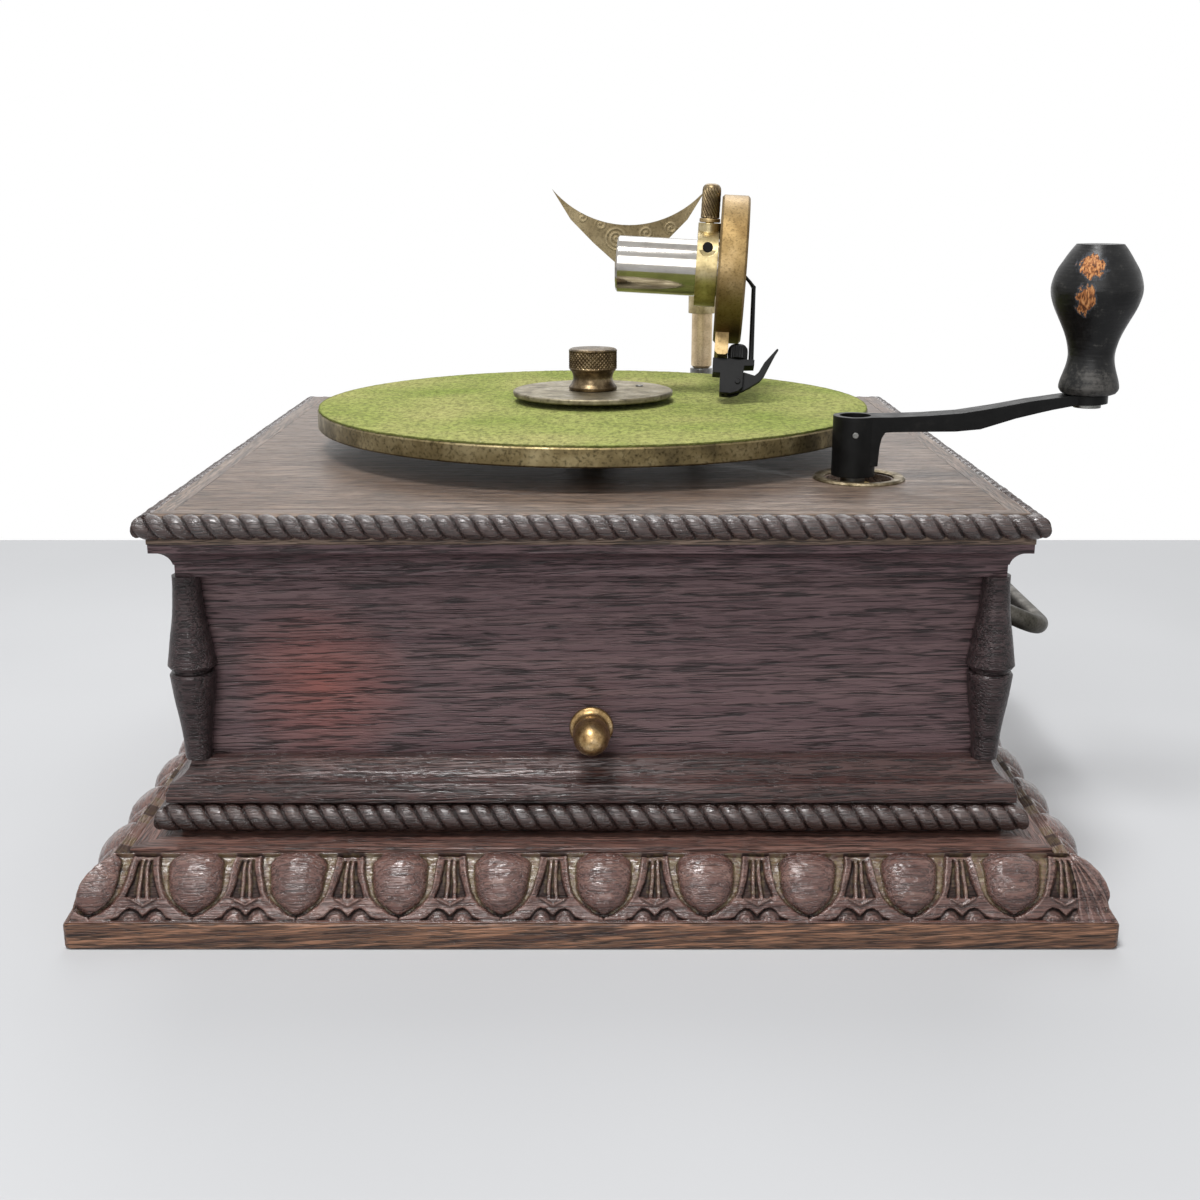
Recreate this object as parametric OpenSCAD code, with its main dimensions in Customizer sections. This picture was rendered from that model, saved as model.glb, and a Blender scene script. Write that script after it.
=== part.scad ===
// Table gramophone: a carved square oak case, a felted turntable, a top crank and a swinging arm for a horn.
// Millimetres. The origin is the middle of the case's underside, +Z is up and the front faces -Y.

/* [Case] */
// Width of the square body across its panels
body_w = 298; // [294:1:320]
// Thickness of the four body panels
panel_t = 12; // [9:0.5:14]
// Height of the panels that shows between the mouldings
body_h = 73; // [68:1:90]
// Height of the carved base moulding
base_h = 31.7; // [29:0.1:34]
// How far the base moulding stands out from the panels
base_out = 47.5; // [45:0.5:54]
// Height of the plain band below the carving
plinth_h = 10.5; // [8:0.5:12]
// Radius of the base moulding's curved face
ovolo_r = 24.5; // [23.5:0.5:28]
// Width of the base moulding that lies inside the panels
base_lip = 7; // [3:0.5:12]
// Thickness of the bottom board
bottom_t = 6; // [4:0.5:9]
// Width of the rebate that takes the bottom board
rebate_w = 11.7; // [9:0.1:14]
// Carved eggs along each side of the base moulding
eggs_per_side = 9; // [5:1:11]
// Distance from one carved egg to the next
egg_pitch = 38.2; // [30:0.1:38.5]
// Radius of a carved egg
egg_r = 13.2; // [12:0.1:13.4]
// How far a carved egg stands out from its ground
egg_rise = 4.6; // [3.5:0.1:4.8]
// Depth of the carved ground below the ribs
carve_depth = 2.4; // [1.5:0.1:3]
// Width of a carved rib
rib_w = 3.2; // [2:0.1:4]

/* [Mouldings] */
// Height of the lower moulding
lower_h = 28.5; // [26:0.5:36]
// How far the middle of the lower rope stands out from the panels
lower_rope_out = 14; // [12:0.5:18]
// Diameter of the lower rope
lower_rope_d = 10.4; // [9:0.1:11]
// Height of the shadow gap under the lower rope
shadow_h = 3.4; // [2.5:0.1:4]
// Height of the upper moulding
upper_h = 14; // [12:0.5:20]
// How far the upper moulding stands out from the panels
upper_out = 14.3; // [13:0.1:16]
// How far the flat frieze stands out from the panels
frieze_out = 7; // [5:0.5:9]
// Thickness of the top board
top_t = 11.3; // [10.5:0.1:14]
// How far the top board's roped edge stands out from the panels
top_out = 18.7; // [17:0.1:22]
// Diameter of the top board's rope
top_rope_d = 9.1; // [8:0.1:10]
// Width of the top board's mitred border
border_w = 13.2; // [11:0.1:16]
// Largest diameter of the turned corner spindles
spindle_d = 18.4; // [16:0.2:19]
// Diameter of the spindles at their thin ends
spindle_tip_d = 7.6; // [6:0.2:9]
// How far the spindles' axes stand out from both panels
spindle_out = 3.9; // [3.2:0.1:5]

/* [Turntable] */
// Diameter of the turntable
table_d = 254; // [240:1:258]
// Gap between the top board and the turntable's rim
table_gap = 10.4; // [9:0.1:14]
// Height of the turntable's rim
rim_h = 8; // [6:0.5:9]
// Wall of the turntable's rim
rim_t = 3; // [2:0.5:5]
// Thickness of the turntable's plate
table_t = 2.5; // [2:0.1:3.5]
// Thickness of the felt
felt_t = 1.1; // [0.6:0.1:1.6]
// Diameter of the turntable's hub
hub_d = 26; // [22:1:32]
// Diameter of the metal plate in the middle of the felt
centre_plate_d = 74.4; // [60:1:80]
// Thickness of that plate
centre_plate_t = 2.5; // [1.5:0.1:3]
// Height of the plate's underside over the felt
centre_plate_gap = 2.8; // [1:0.1:3]
// Diameter of the spindle where the record goes on
record_pin_d = 7.2; // [6.8:0.1:7.6]
// Height of the record pin over the middle plate
record_pin_h = 15.2; // [12:0.2:17]
// Diameter of the spindle's shaft
shaft_d = 9; // [8.5:0.1:11]
// Height of the clamp nut
nut_h = 18.9; // [18:0.1:22]
// Diameter of the clamp nut's knurled head
nut_d = 22.4; // [19:0.2:24]

/* [Crank] */
// Distance from the crank's axis to the knob's axis
crank_throw = 94; // [85:1:96]
// Diameter of the crank's socket
socket_d = 17.7; // [16:0.1:18]
// Height of the socket's top over the board
socket_top = 26.1; // [25.5:0.1:28]
// Diameter of the winding shaft
winding_d = 10; // [8:0.5:11]
// Height of the wooden knob
knob_h = 59.2; // [50:0.2:66]
// Largest diameter of the wooden knob
knob_d = 36.9; // [32:0.1:40]
// Width of the crank's arm at its socket
arm_w = 14; // [11:0.5:16]
// Outside diameter of the ring round the crank's hole
ring_d = 37.6; // [34:0.2:40]
// Inside diameter of that ring
ring_bore = 28.4; // [26:0.2:30]
// How far that ring sits beside the crank's axis
ring_shift = 2.6; // [0:0.1:3]

/* [Motor] */
// Distance from the turntable's rim to the crank's axis
crank_gap = 14.3; // [13.5:0.1:15.5]
// Teeth of the pinion on the winding shaft
winding_pinion_n = 15; // [14:1:16]
// Teeth of the winding wheel
winding_wheel_n = 45; // [42:1:46]
// Module of the great wheel and its pinion
great_mod = 1; // [0.9:0.05:1.02]
// Teeth of the great wheel
great_wheel_n = 100; // [96:1:101]
// Teeth of the pinion that the great wheel turns
great_pinion_n = 16; // [16:1:18]
// Module of the middle wheel and the spindle's pinion
middle_mod = 0.8; // [0.75:0.05:0.85]
// Teeth of the middle wheel
middle_wheel_n = 80; // [76:1:84]
// Teeth of the spindle's pinion
spindle_pinion_n = 16; // [15:1:17]
// Module of the spindle's wheel and the governor's pinion
governor_mod = 0.6; // [0.6:0.05:0.65]
// Teeth of the spindle's wheel
spindle_wheel_n = 100; // [96:1:104]
// Teeth of the governor's pinion
governor_pinion_n = 10; // [10:1:12]
// Distance between the motor's two plates
pillar_h = 74; // [72:0.5:78]
// Thickness of the motor's plates
plate_t = 3; // [2.5:0.1:4]
// Length of the sleeves that hang the motor under the top board
hanger_h = 11.2; // [8:0.2:14]
// Diameter of the spring barrel
barrel_d = 80; // [70:1:82]
// Height of the spring barrel
barrel_h = 36; // [30:0.5:37]
// Diameter of the barrel's arbor
arbor_d = 10; // [8:0.5:12]
// Turns of the mainspring
spring_turns = 9; // [6:1:12]
// Thickness of the mainspring
spring_t = 0.8; // [0.5:0.1:1.2]
// Diameter of the governor's friction disc
governor_disc_d = 32; // [26:1:34]
// Distance of the governor's weights from its shaft
weight_reach = 13.2; // [12:0.2:15]

/* [Brake] */
// Diameter of the brake knob's flange
brake_flange_d = 17; // [15:0.5:20]
// Length of the brake knob in front of its flange
brake_nose = 14; // [11:0.5:18]
// Diameter of the brake rod
brake_rod_d = 6; // [5:0.5:7]
// Diameter of the hole in the front panel
brake_hole_d = 8.4; // [7.6:0.2:10]

/* [Carrying handles] */
// Height of the handles' hinges over the lower moulding
handle_z = 43.8; // [40:0.5:50]
// Distance from a handle's hinge to the middle of its grip
handle_reach = 49; // [44:1:50]
// Distance between the middles of a handle's legs
handle_span = 124; // [100:1:140]
// Diameter of the handle's rod
handle_rod_d = 8.5; // [7:0.5:9]
// Angle below level at which the right handle stands
right_handle_drop = 23; // [10:1:40]
// Angle from plumb at which the left handle hangs
left_handle_lean = 12; // [12:1:16]

/* [Arm] */
// Place of the arm's upright pivot, to the right of the spindle
pivot_x = 63; // [58:0.5:66]
// Place of the arm's upright pivot, behind the spindle
pivot_y = 185; // [183:0.5:186]
// Diameter of the pivot post
post_d = 9; // [8:0.5:10]
// Outside diameter of the sleeve on the post
sleeve_d = 12; // [11.4:0.2:13]
// Height over the board of the tube's axis at the sound box
tube_z = 78.5; // [76:0.5:84]
// Distance of the sound box in front of the arm's pivot
sound_box_ahead = 167; // [160:1:170]
// Sideways place of the sound box's middle
sound_box_x = 65; // [64:0.1:67]
// Angle by which the tube leans down to the right
tube_tilt = 2.9; // [1:0.1:4]
// Angle by which the sound box's face turns to the front
tube_yaw = 4.4; // [2:0.1:5]
// Diameter of the cradle's curve that the horn lies in
horn_d = 115.4; // [100:0.2:130]
// Width of the cradle between its tips
cradle_w = 86.7; // [70:0.1:92]

/* [Sound box] */
// Diameter of the sound box
box_d = 68; // [62:0.5:70]
// Thickness of the sound box
box_t = 12.9; // [12.5:0.1:13.5]
// Diameter of the nickel tube
tube_d = 26; // [25:0.2:28]
// Length of the tube behind the sound box
tube_len = 47.4; // [40:0.2:50]
// Width of the clamp ring
clamp_w = 9.8; // [8.5:0.1:10.5]
// Outside diameter of the clamp ring
clamp_d = 35; // [34:0.5:37]
// Angle by which the needle's bar leans to the front
bar_lean = 28; // [27:1:32]
// Distance from the tube's axis to the end of the needle's holder
holder_reach = 62.2; // [61:0.1:62.4]

/* [Hidden] */
$fn = 96;

// Clearances
run_fit = 0.05;
seat_gap = 0.3;

// Levels of the case
half = body_w / 2;
inner = half - panel_t;
lower_top = base_h + lower_h;
upper_bottom = lower_top + body_h;
top_under = upper_bottom + upper_h;
top_z = top_under + top_t;
edge = half + top_out;
base_edge = half + base_out;
bottom_edge = inner + rebate_w - base_lip;

// Gears: teeth are 25 degree involutes with short tips
pressure = 25;
tip_share = 0.8;
root_share = 1;
backlash = 0.12;
function pitch_r(n, m) = n * m / 2;
function mesh_d(n1, n2, m) = m * (n1 + n2) / 2;
function tip_r(n, m) = pitch_r(n, m) + tip_share * m;
function polar(r, a) = [r * cos(a), r * sin(a)];

// Axes of the motor, from the spindle out to the crank
middle_dir = -22.7;
barrel_dir = -52.4;
crank_from_spindle = -40.62;
governor_dir = -90;
middle_at = polar(mesh_d(middle_wheel_n, spindle_pinion_n, middle_mod), middle_dir);
barrel_at = middle_at + polar(mesh_d(great_wheel_n, great_pinion_n, great_mod), barrel_dir);
crank_at = polar(table_d / 2 + crank_gap, crank_from_spindle);
crank_from_barrel = crank_at - barrel_at;
crank_dir = atan2(crank_from_barrel[1], crank_from_barrel[0]);
winding_mod = 2 * norm(crank_from_barrel) / (winding_wheel_n + winding_pinion_n);
governor_at = polar(mesh_d(spindle_wheel_n, governor_pinion_n, governor_mod), governor_dir);

// Levels of the motor
top_plate_z = top_under - hanger_h - plate_t;
plate_top = top_plate_z - pillar_h;
bottom_plate_z = plate_top - plate_t;
middle_wheel_z = plate_top + 4;
middle_wheel_t = 2.5;
great_wheel_z = plate_top + 10;
great_wheel_t = 3;
barrel_z = great_wheel_z + great_wheel_t;
winding_wheel_z = barrel_z + barrel_h + 6;
winding_wheel_t = 6;
winding_pinion_t = 10;
spindle_wheel_z = top_plate_z - 9;
spindle_wheel_t = 2.5;
disc_z = plate_top + 12;
disc_t = 4;
journal_in = 2.8;
bearing_r = 9;
bearing_top = top_z - 2.5;

// Turntable levels
rim_z = top_z + table_gap;
table_z = rim_z + rim_h;
felt_top = table_z + felt_t;
centre_z = felt_top + centre_plate_gap;
centre_top = centre_z + centre_plate_t;
pin_top = centre_top + record_pin_h;
shoulder_z = rim_z - 9;
shoulder_t = 3;
hub_z = shoulder_z + shoulder_t;

// Crank levels
socket_bottom = top_z + 1.6;
socket_z = top_z + socket_top;
arm_low = felt_top + 0.6;
arm_end_z = socket_z + 8.5;
crank_pin_d = 6;

// Brake
brake_z = disc_z + disc_t / 2;
pad_front = governor_at[1] - governor_disc_d / 2 - seat_gap;
pad_t = 4;
foot_t = 2;
knob_back = -half - 1;
guide_y = crank_at[1] - 20;

// Handles
hinge_x = half + 7;
hinge_z = lower_top + handle_z;
knuckle_w = 8;
knuckle_r = 5;
handle_pin_r = 2.5;
leg_y = handle_span / 2;
knuckle_y = leg_y - handle_rod_d / 2 - seat_gap - knuckle_w / 2;

// Arm and sound box
box_y = pivot_y - sound_box_ahead;
box_z = top_z + tube_z;
post_r = post_d / 2;
collar_z = top_z + 9.5;
sleeve_z = collar_z + 4.2 + seat_gap;
sleeve_top = box_z + 3.2;
arm_z = box_z - 13;
arm_t = 12;
arm_bar_w = 8;
arm_hub_r = sleeve_d / 2 + 2.1;
arm_hub_z = box_z - 32.6;
neck_r = tube_d / 2 - 0.4;
box_half = box_t / 2;
clamp_z = -box_half - seat_gap - clamp_w;
boss_r = 5.2;
boss_top = clamp_d / 2 + 3.3;
clamp_screw_r = 2;

module ring(r_out, r_in, h) {
    difference() {
        cylinder(r = r_out, h = h);
        translate([0, 0, -1]) cylinder(r = r_in, h = h + 2);
    }
}

module at(place, z = 0) {
    translate([place[0], place[1], z]) children();
}

// A round bar from one point to another, thicker or thinner at its end
module bar(p, q, r1, r2) {
    d = q - p;
    len = norm(d);
    translate(p) rotate([0, acos(d[2] / len), atan2(d[1], d[0])]) cylinder(r1 = r1, r2 = r2, h = len);
}

// A moulding of four mitred lengths: the children are its section, drawn from the panel's face outward
module mitred() {
    reach = 2 * base_edge;
    for (side = [0:3]) rotate(90 * side) intersection() {
        translate([0, reach, 0]) rotate([90, 0, 0]) linear_extrude(2 * reach) translate([half, 0]) children();
        mitre();
    }
}

// The quarter of the plan that one mitred length may fill
module mitre() {
    reach = 2 * base_edge;
    translate([0, 0, -1]) linear_extrude(top_z + 2) polygon([[0, 0], [reach, -reach], [reach, reach]]);
}

function arc(c, r, a1, a2, steps) = [for (i = [0:steps]) c + polar(r, a1 + (a2 - a1) * i / steps)];

// Involute gear teeth
function involute(r, rb) = let (t = sqrt(max(0, pow(r / rb, 2) - 1))) t * 180 / PI - atan(t);
function tooth_half(n, m, r) =
    let (rp = pitch_r(n, m), rb = rp * cos(pressure))
    90 / n - backlash / 2 / rp * 180 / PI + involute(rp, rb) - involute(max(r, rb), rb);
function flank_radii(n, m) =
    let (rp = pitch_r(n, m), rf = rp - root_share * m)
    [rf, max(rp * cos(pressure), (rf + rp) / 2), rp, tip_r(n, m)];
function gear_outline(n, m) = let (rr = flank_radii(n, m)) [
    for (i = [0:n - 1]) each concat(
        [for (k = [0:3]) polar(rr[k], 360 * i / n - tooth_half(n, m, rr[k]))],
        [for (k = [3:-1:0]) polar(rr[k], 360 * i / n + tooth_half(n, m, rr[k]))])
];

// A gear whose tooth, or with phase 0.5 whose gap, points along the direction given
module gear(n, m, h, bore, towards, phase = 0) {
    rotate(towards + phase * 360 / n) difference() {
        linear_extrude(h) polygon(gear_outline(n, m));
        translate([0, 0, -1]) cylinder(d = bore, h = h + 2);
    }
}

// A countersunk screw with its head down, pointing up
module screw(shank_d, head_d, head_h, len) {
    cylinder(d = head_d, h = head_h);
    translate([0, 0, head_h]) cylinder(d = shank_d, h = len - head_h);
}

// Places of screws and pillars
bottom_screw_at = [for (side = [0:3], k = [-1, 1]) [
    cos(90 * side) * (bottom_edge - 5) - sin(90 * side) * k * half / 2,
    sin(90 * side) * (bottom_edge - 5) + cos(90 * side) * k * half / 2]];
motor_side = inner - 5.7;
pillar_x = motor_side - 10;
pillar_drop = tip_r(winding_pinion_n, winding_mod) + 5.8;
hanger_at = [[-30, 8], [pillar_x, crank_at[1] + 66], [pillar_x - 21, crank_at[1] - 22],
    [30, crank_at[1] - 20]];
pillar_at = [[-30, 26], [pillar_x, crank_at[1] + 83], [pillar_x, crank_at[1] - pillar_drop],
    [15, crank_at[1] - 19]];
bracket_screw_at = [for (sx = [-1, 1], sz = [-1, 1]) [pivot_x + sx * 14, upper_bottom - 31 + sz * 17]];
handle_screw_len = 9;
plate_outline = [[-42, -20], [-42, 36], [-8, 36], [motor_side, crank_at[1] + 96],
    [motor_side, crank_at[1] - 29], [-12, crank_at[1] - 29], [-12, -52]];

module bottom_screws() {
    for (s = bottom_screw_at) at(s) screw(3.5, 7, 2, 18);
}

module hanger_screws() {
    for (s = hanger_at) at(s, top_plate_z - 2.5) screw(5, 10, 2.5, plate_t + hanger_h + 10);
}

module bracket_screws() {
    for (s = bracket_screw_at) translate([s[0], half + 6, s[1]]) rotate([90, 0, 0]) screw(3.5, 7, 2, 14);
}

// Case

// The base moulding's curved face, about its centre in the section, from its foot to its top
ovolo_at = [base_out - 27.6, plinth_h - 0.6];
ovolo_from = asin(5.4 / ovolo_r);
ovolo_to = asin(min(1, (base_h - ovolo_at[1]) / ovolo_r));
ground_r = ovolo_r - carve_depth;

module base_section() {
    foot = ovolo_at + polar(ovolo_r, ovolo_from);
    top = ovolo_at + polar(ovolo_r, ovolo_to);
    union() {
        polygon([[-panel_t - base_lip, bottom_t], [-panel_t + rebate_w - base_lip, bottom_t],
            [-panel_t + rebate_w - base_lip, 0], [base_out - 1, 0], [base_out, 1], [base_out, plinth_h - 1],
            [base_out - 1, plinth_h], [base_out - 2.1, plinth_h + 3], foot, ovolo_at, [top[0], base_h],
            [-panel_t - base_lip, base_h]]);
        translate(ovolo_at) sector(0, ovolo_r, ovolo_from, ovolo_to);
    }
}

// Part of the curved face between two radii and two angles
module sector(r1, r2, a1, a2) {
    difference() {
        intersection() {
            circle(r = r2);
            polygon([[0, 0], polar(2 * r2, a1), polar(2 * r2, a2)]);
        }
        if (r1 > 0) circle(r = r1);
    }
}

// A length of such a part along one side of the base
module carved(from, to, r1, r2, a1, a2) {
    translate([half + ovolo_at[0], to, ovolo_at[1]]) rotate([90, 0, 0]) linear_extrude(to - from)
        sector(r1, r2, a1, a2);
}

// The carving of one side: a sunk ground with ribs, fluted tongues and eggs
module egg_and_dart() {
    low = ovolo_from + 5;
    high = ovolo_to - 5;
    reach = eggs_per_side * egg_pitch / 2;
    egg_mid = ovolo_at + polar(ground_r + egg_rise - egg_r, egg_angle);
    difference() {
        children();
        carved(-reach, reach, ground_r, ovolo_r + 5, low, high);
    }
    for (k = [0:eggs_per_side - 1]) {
        egg_y = (k + 0.5) * egg_pitch - reach;
        for (y = [egg_y - rib_at, egg_y + rib_at])
            carved(y - rib_w / 2, y + rib_w / 2, ground_r - 1, ovolo_r - 0.1, low - 1, high + 1);
        tongue_y = egg_y - egg_pitch / 2;
        if (k > 0) carved(tongue_y - tongue_w / 2, tongue_y + tongue_w / 2, ground_r - 1, ground_r + 1.2,
            low + 6, high + 1);
        translate([half + egg_mid[0], egg_y, egg_mid[1]]) sphere(r = egg_r, $fn = 48);
    }
}
rib_at = egg_r;
tongue_w = 4.6;
egg_angle = 39;

module base_moulding() {
    reach = 2 * base_edge;
    color("#4b2d2d") difference() {
        for (side = [0:3]) rotate(90 * side) intersection() {
            egg_and_dart() translate([0, reach, 0]) rotate([90, 0, 0]) linear_extrude(2 * reach)
                translate([half, 0]) base_section();
            mitre();
        }
        bottom_screws();
    }
}

module bottom_board() {
    color("#6b4a35") difference() {
        translate([-bottom_edge, -bottom_edge, 0]) cube([2 * bottom_edge, 2 * bottom_edge, bottom_t]);
        bottom_screws();
    }
}

module lower_section() {
    rope_z = base_h + shadow_h + lower_rope_d / 2;
    fillet_z = rope_z + 6;
    fillet_out = lower_rope_out + 1;
    cove_r = 8.55;
    union() {
        translate([lower_rope_out, rope_z]) circle(d = lower_rope_d);
        polygon(concat([[0, base_h], [lower_rope_out - 3, base_h], [lower_rope_out - 3, fillet_z],
            [fillet_out, fillet_z], [fillet_out, fillet_z + 3.5], [fillet_out - 0.6, fillet_z + 4.7]],
            arc([fillet_out - 0.1, lower_top + 0.6], cove_r, 261, 184, 8), [[0, lower_top]]));
    }
}

module lower_moulding() {
    color("#4b2d2d") mitred() lower_section();
}

module upper_section() {
    cove_r = upper_out - frieze_out - 0.1;
    fillet_h = 3.4;
    polygon(concat([[0, upper_bottom], [frieze_out, upper_bottom], [frieze_out, upper_bottom + 4.6]],
        arc([upper_out + 0.2, top_under - fillet_h - cove_r], cove_r, 170, 95, 8),
        [[upper_out, top_under - fillet_h], [upper_out, top_under], [0, top_under]]));
}

module upper_moulding() {
    color("#4b2d2d") mitred() upper_section();
}

module front_panel() {
    color("#4b2d2d") difference() {
        translate([-half, -half, base_h]) cube([body_w, panel_t, top_under - base_h]);
        translate([governor_at[0], 1 - inner, brake_z]) rotate([90, 0, 0])
            cylinder(d = brake_hole_d, h = panel_t + 2);
    }
}

module rear_panel() {
    color("#4b2d2d") difference() {
        translate([-half, inner, base_h]) cube([body_w, panel_t, top_under - base_h]);
        bracket_screws();
    }
}

module side_panel(side) {
    color("#4b2d2d") difference() {
        translate([side > 0 ? inner : -half, -inner, base_h]) cube([panel_t, 2 * inner, top_under - base_h]);
        handle_studs(side);
    }
}

module left_panel() {
    side_panel(-1);
}

module right_panel() {
    side_panel(1);
}

// Two cones, base to base over a groove, cut to sit round the corner of the case
module corner_spindles() {
    waist = lower_top + body_h * 0.49;
    r = spindle_d / 2;
    tip = spindle_tip_d / 2;
    peg = 2.5;
    c = half + spindle_out;
    color("#4b2d2d") for (side = [0:3]) rotate(90 * side) difference() {
        at([c, c]) rotate_extrude() polygon([[0, lower_top], [peg, lower_top], [peg, lower_top + 3.8],
            [tip, lower_top + 4.2], [r - 0.6, waist - 2], [r - 1.2, waist - 1], [r - 2.2, waist - 0.6],
            [r - 2.2, waist + 0.6], [r - 0.9, waist + 1], [r, waist + 2.4],
            [tip + 0.4, upper_bottom - 2.4], [tip - 0.6, upper_bottom - 1.4], [peg, upper_bottom - 1.4],
            [peg, upper_bottom], [0, upper_bottom]]);
        translate([-half, -half, 0]) cube([body_w, body_w, top_z]);
    }
}

module border_section() {
    bead_out = top_out - top_rope_d / 2;
    union() {
        translate([bead_out, top_t - top_rope_d / 2 + top_under]) circle(d = top_rope_d);
        translate([top_out - border_w, top_under]) square([border_w - top_rope_d / 2, top_t]);
    }
}

module top_board() {
    slab = edge - border_w;
    color("#5a3b36") {
        difference() {
            translate([-slab, -slab, top_under]) cube([2 * slab, 2 * slab, top_t]);
            translate([0, 0, top_under - 1]) cylinder(r = bearing_r + 0.5, h = top_t + 2);
            at(crank_at, top_under - 1) cylinder(r = bearing_r + 0.5, h = top_t + 2);
            at(crank_at + [ring_shift, 0], top_z - 4) cylinder(d = ring_bore - 2, h = 5);
            hanger_screws();
        }
        mitred() border_section();
    }
}

module case_screws() {
    color("#8a7a55") {
        difference() {
            bottom_screws();
            translate([-half, -half, -1]) cube([body_w, body_w, 1.4]);
        }
        hanger_screws();
        bracket_screws();
    }
}

module crank_escutcheon() {
    r = ring_d / 2;
    color("#b9a46a") at(crank_at + [ring_shift, 0], top_z) rotate_extrude() polygon([[ring_bore / 2, 0], [r, 0],
        [r, 0.5], [r - 0.8, 1.2], [ring_bore / 2 + 1.4, 1.2], [ring_bore / 2, 0.6]]);
}

// Carrying handles

module handle_studs(side) {
    for (k = [-1, 1]) translate([side * half, k * knuckle_y, hinge_z]) rotate([0, side > 0 ? -90 : 90, 0])
        cylinder(d = 5, h = handle_screw_len);
}

module handle_post() {
    difference() {
        union() {
            rotate([0, 90, 0]) cylinder(r = 9, h = 2);
            translate([1, 0, 0]) rotate([0, 90, 0]) cylinder(r = 4.5, h = hinge_x - half - 1);
            translate([hinge_x - half, knuckle_w / 2, 0]) rotate([90, 0, 0])
                cylinder(r = knuckle_r, h = knuckle_w);
        }
        translate([hinge_x - half, knuckle_w, 0]) rotate([90, 0, 0])
            cylinder(r = handle_pin_r + run_fit, h = 2 * knuckle_w);
    }
    rotate([0, -90, 0]) cylinder(d = 5, h = handle_screw_len);
}

module handle_posts() {
    color("#8d8a72") for (side = [0, 1], k = [-1, 1]) mirror([side, 0, 0])
        translate([half, k * knuckle_y, hinge_z]) handle_post();
}

// A bail with its hinge line on Y and its grip out along X
module bail() {
    r = handle_rod_d / 2;
    bend = 12;
    for (k = [-1, 1]) {
        translate([0, k * leg_y, 0]) sphere(r = r);
        translate([0, k * leg_y, 0]) rotate([0, 90, 0]) cylinder(r = r, h = handle_reach - bend);
        translate([0, k * leg_y, 0]) rotate([k * 90, 0, 0])
            cylinder(r = handle_pin_r, h = leg_y - knuckle_y + knuckle_w / 2);
        translate([handle_reach - bend, k * (leg_y - bend), 0]) rotate(k > 0 ? 0 : -90)
            rotate_extrude(angle = 90) translate([bend, 0]) circle(r = r);
    }
    translate([handle_reach, leg_y - bend, 0]) rotate([90, 0, 0]) cylinder(r = r, h = 2 * (leg_y - bend));
}

module right_handle() {
    color("#8d8a72") translate([hinge_x, 0, hinge_z]) rotate([0, right_handle_drop, 0]) bail();
}

module left_handle() {
    color("#8d8a72") mirror([1, 0, 0]) translate([hinge_x, 0, hinge_z])
        rotate([0, 90 - left_handle_lean, 0]) bail();
}

// Start and stop brake

module brake_knob() {
    f = brake_flange_d / 2;
    nose = 8 + brake_nose;
    color("#b08a4a") translate([governor_at[0], knob_back, brake_z]) rotate([90, 0, 0]) rotate_extrude()
        polygon(concat([[brake_rod_d / 2, 0], [5.2, 0], [6.6, 1.2], [6.6, 2.6], [5.6, 3.6],
            [f - 0.8, 4.2], [f, 5], [f, 6.8], [f - 0.9, 7.8], [6.6, 8.4]],
            [for (a = [0:15:75]) [7.2 * pow(cos(a), 0.8), nose - 9 + 8 * sin(a)]],
            [[0, nose - 0.6], [0, nose - 6], [brake_rod_d / 2, nose - 6]]));
}

module brake_rod() {
    back = pad_front - pad_t;
    front = knob_back - brake_nose - 2;
    color("#8a8a86") translate([governor_at[0], back, brake_z]) rotate([90, 0, 0]) {
        cylinder(d = brake_rod_d, h = back - front);
        cylinder(r = 5, h = foot_t);
    }
}

module brake_pad() {
    color("#7b5a3a") translate([governor_at[0] - 4, pad_front - pad_t, brake_z - 3]) cube([8, pad_t, 6]);
}

// Support for the arm, behind the case

module support_bracket() {
    plate_z = upper_bottom - 56;
    hub_top = upper_bottom - 9;
    color("#9a8a55") difference() {
        union() {
            translate([pivot_x - 20, half, plate_z]) cube([40, 4, 50]);
            translate([pivot_x - 8, half + 4, hub_top - 17]) cube([16, pivot_y - half - 4, 8]);
            translate([pivot_x + 3, 0, 0]) rotate([0, -90, 0]) linear_extrude(6)
                polygon([[plate_z + 2, half + 3], [hub_top - 16, half + 3], [hub_top - 16, pivot_y - 4]]);
            at([pivot_x, pivot_y], hub_top - 20) cylinder(r = 10, h = 20);
        }
        at([pivot_x, pivot_y], hub_top - 21) cylinder(r = post_r, h = 22);
        bracket_screws();
    }
}

module pivot_post() {
    foot_z = upper_bottom - 29;
    color("#8a8a86") at([pivot_x, pivot_y]) {
        translate([0, 0, foot_z]) cylinder(r = post_r, h = sleeve_top - 1.7 - seat_gap - foot_z);
        translate([0, 0, collar_z]) cylinder(r = 6.5, h = sleeve_z - seat_gap - collar_z);
    }
}

// Motor frame

module plate_bores(z, blind) {
    h = plate_t + 2;
    at(middle_at, z - 1) cylinder(d = middle_shaft_d + 2 * run_fit, h = h);
    at(governor_at, z - 1) cylinder(d = governor_shaft_d + 2 * run_fit, h = h);
    at(barrel_at, z - 1) cylinder(d = arbor_d + 2 * run_fit, h = h);
    translate([0, 0, blind ? z + 1 : z - 1]) cylinder(d = shaft_d + 2 * run_fit, h = h);
}
middle_shaft_d = 5;
governor_shaft_d = 4;

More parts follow.
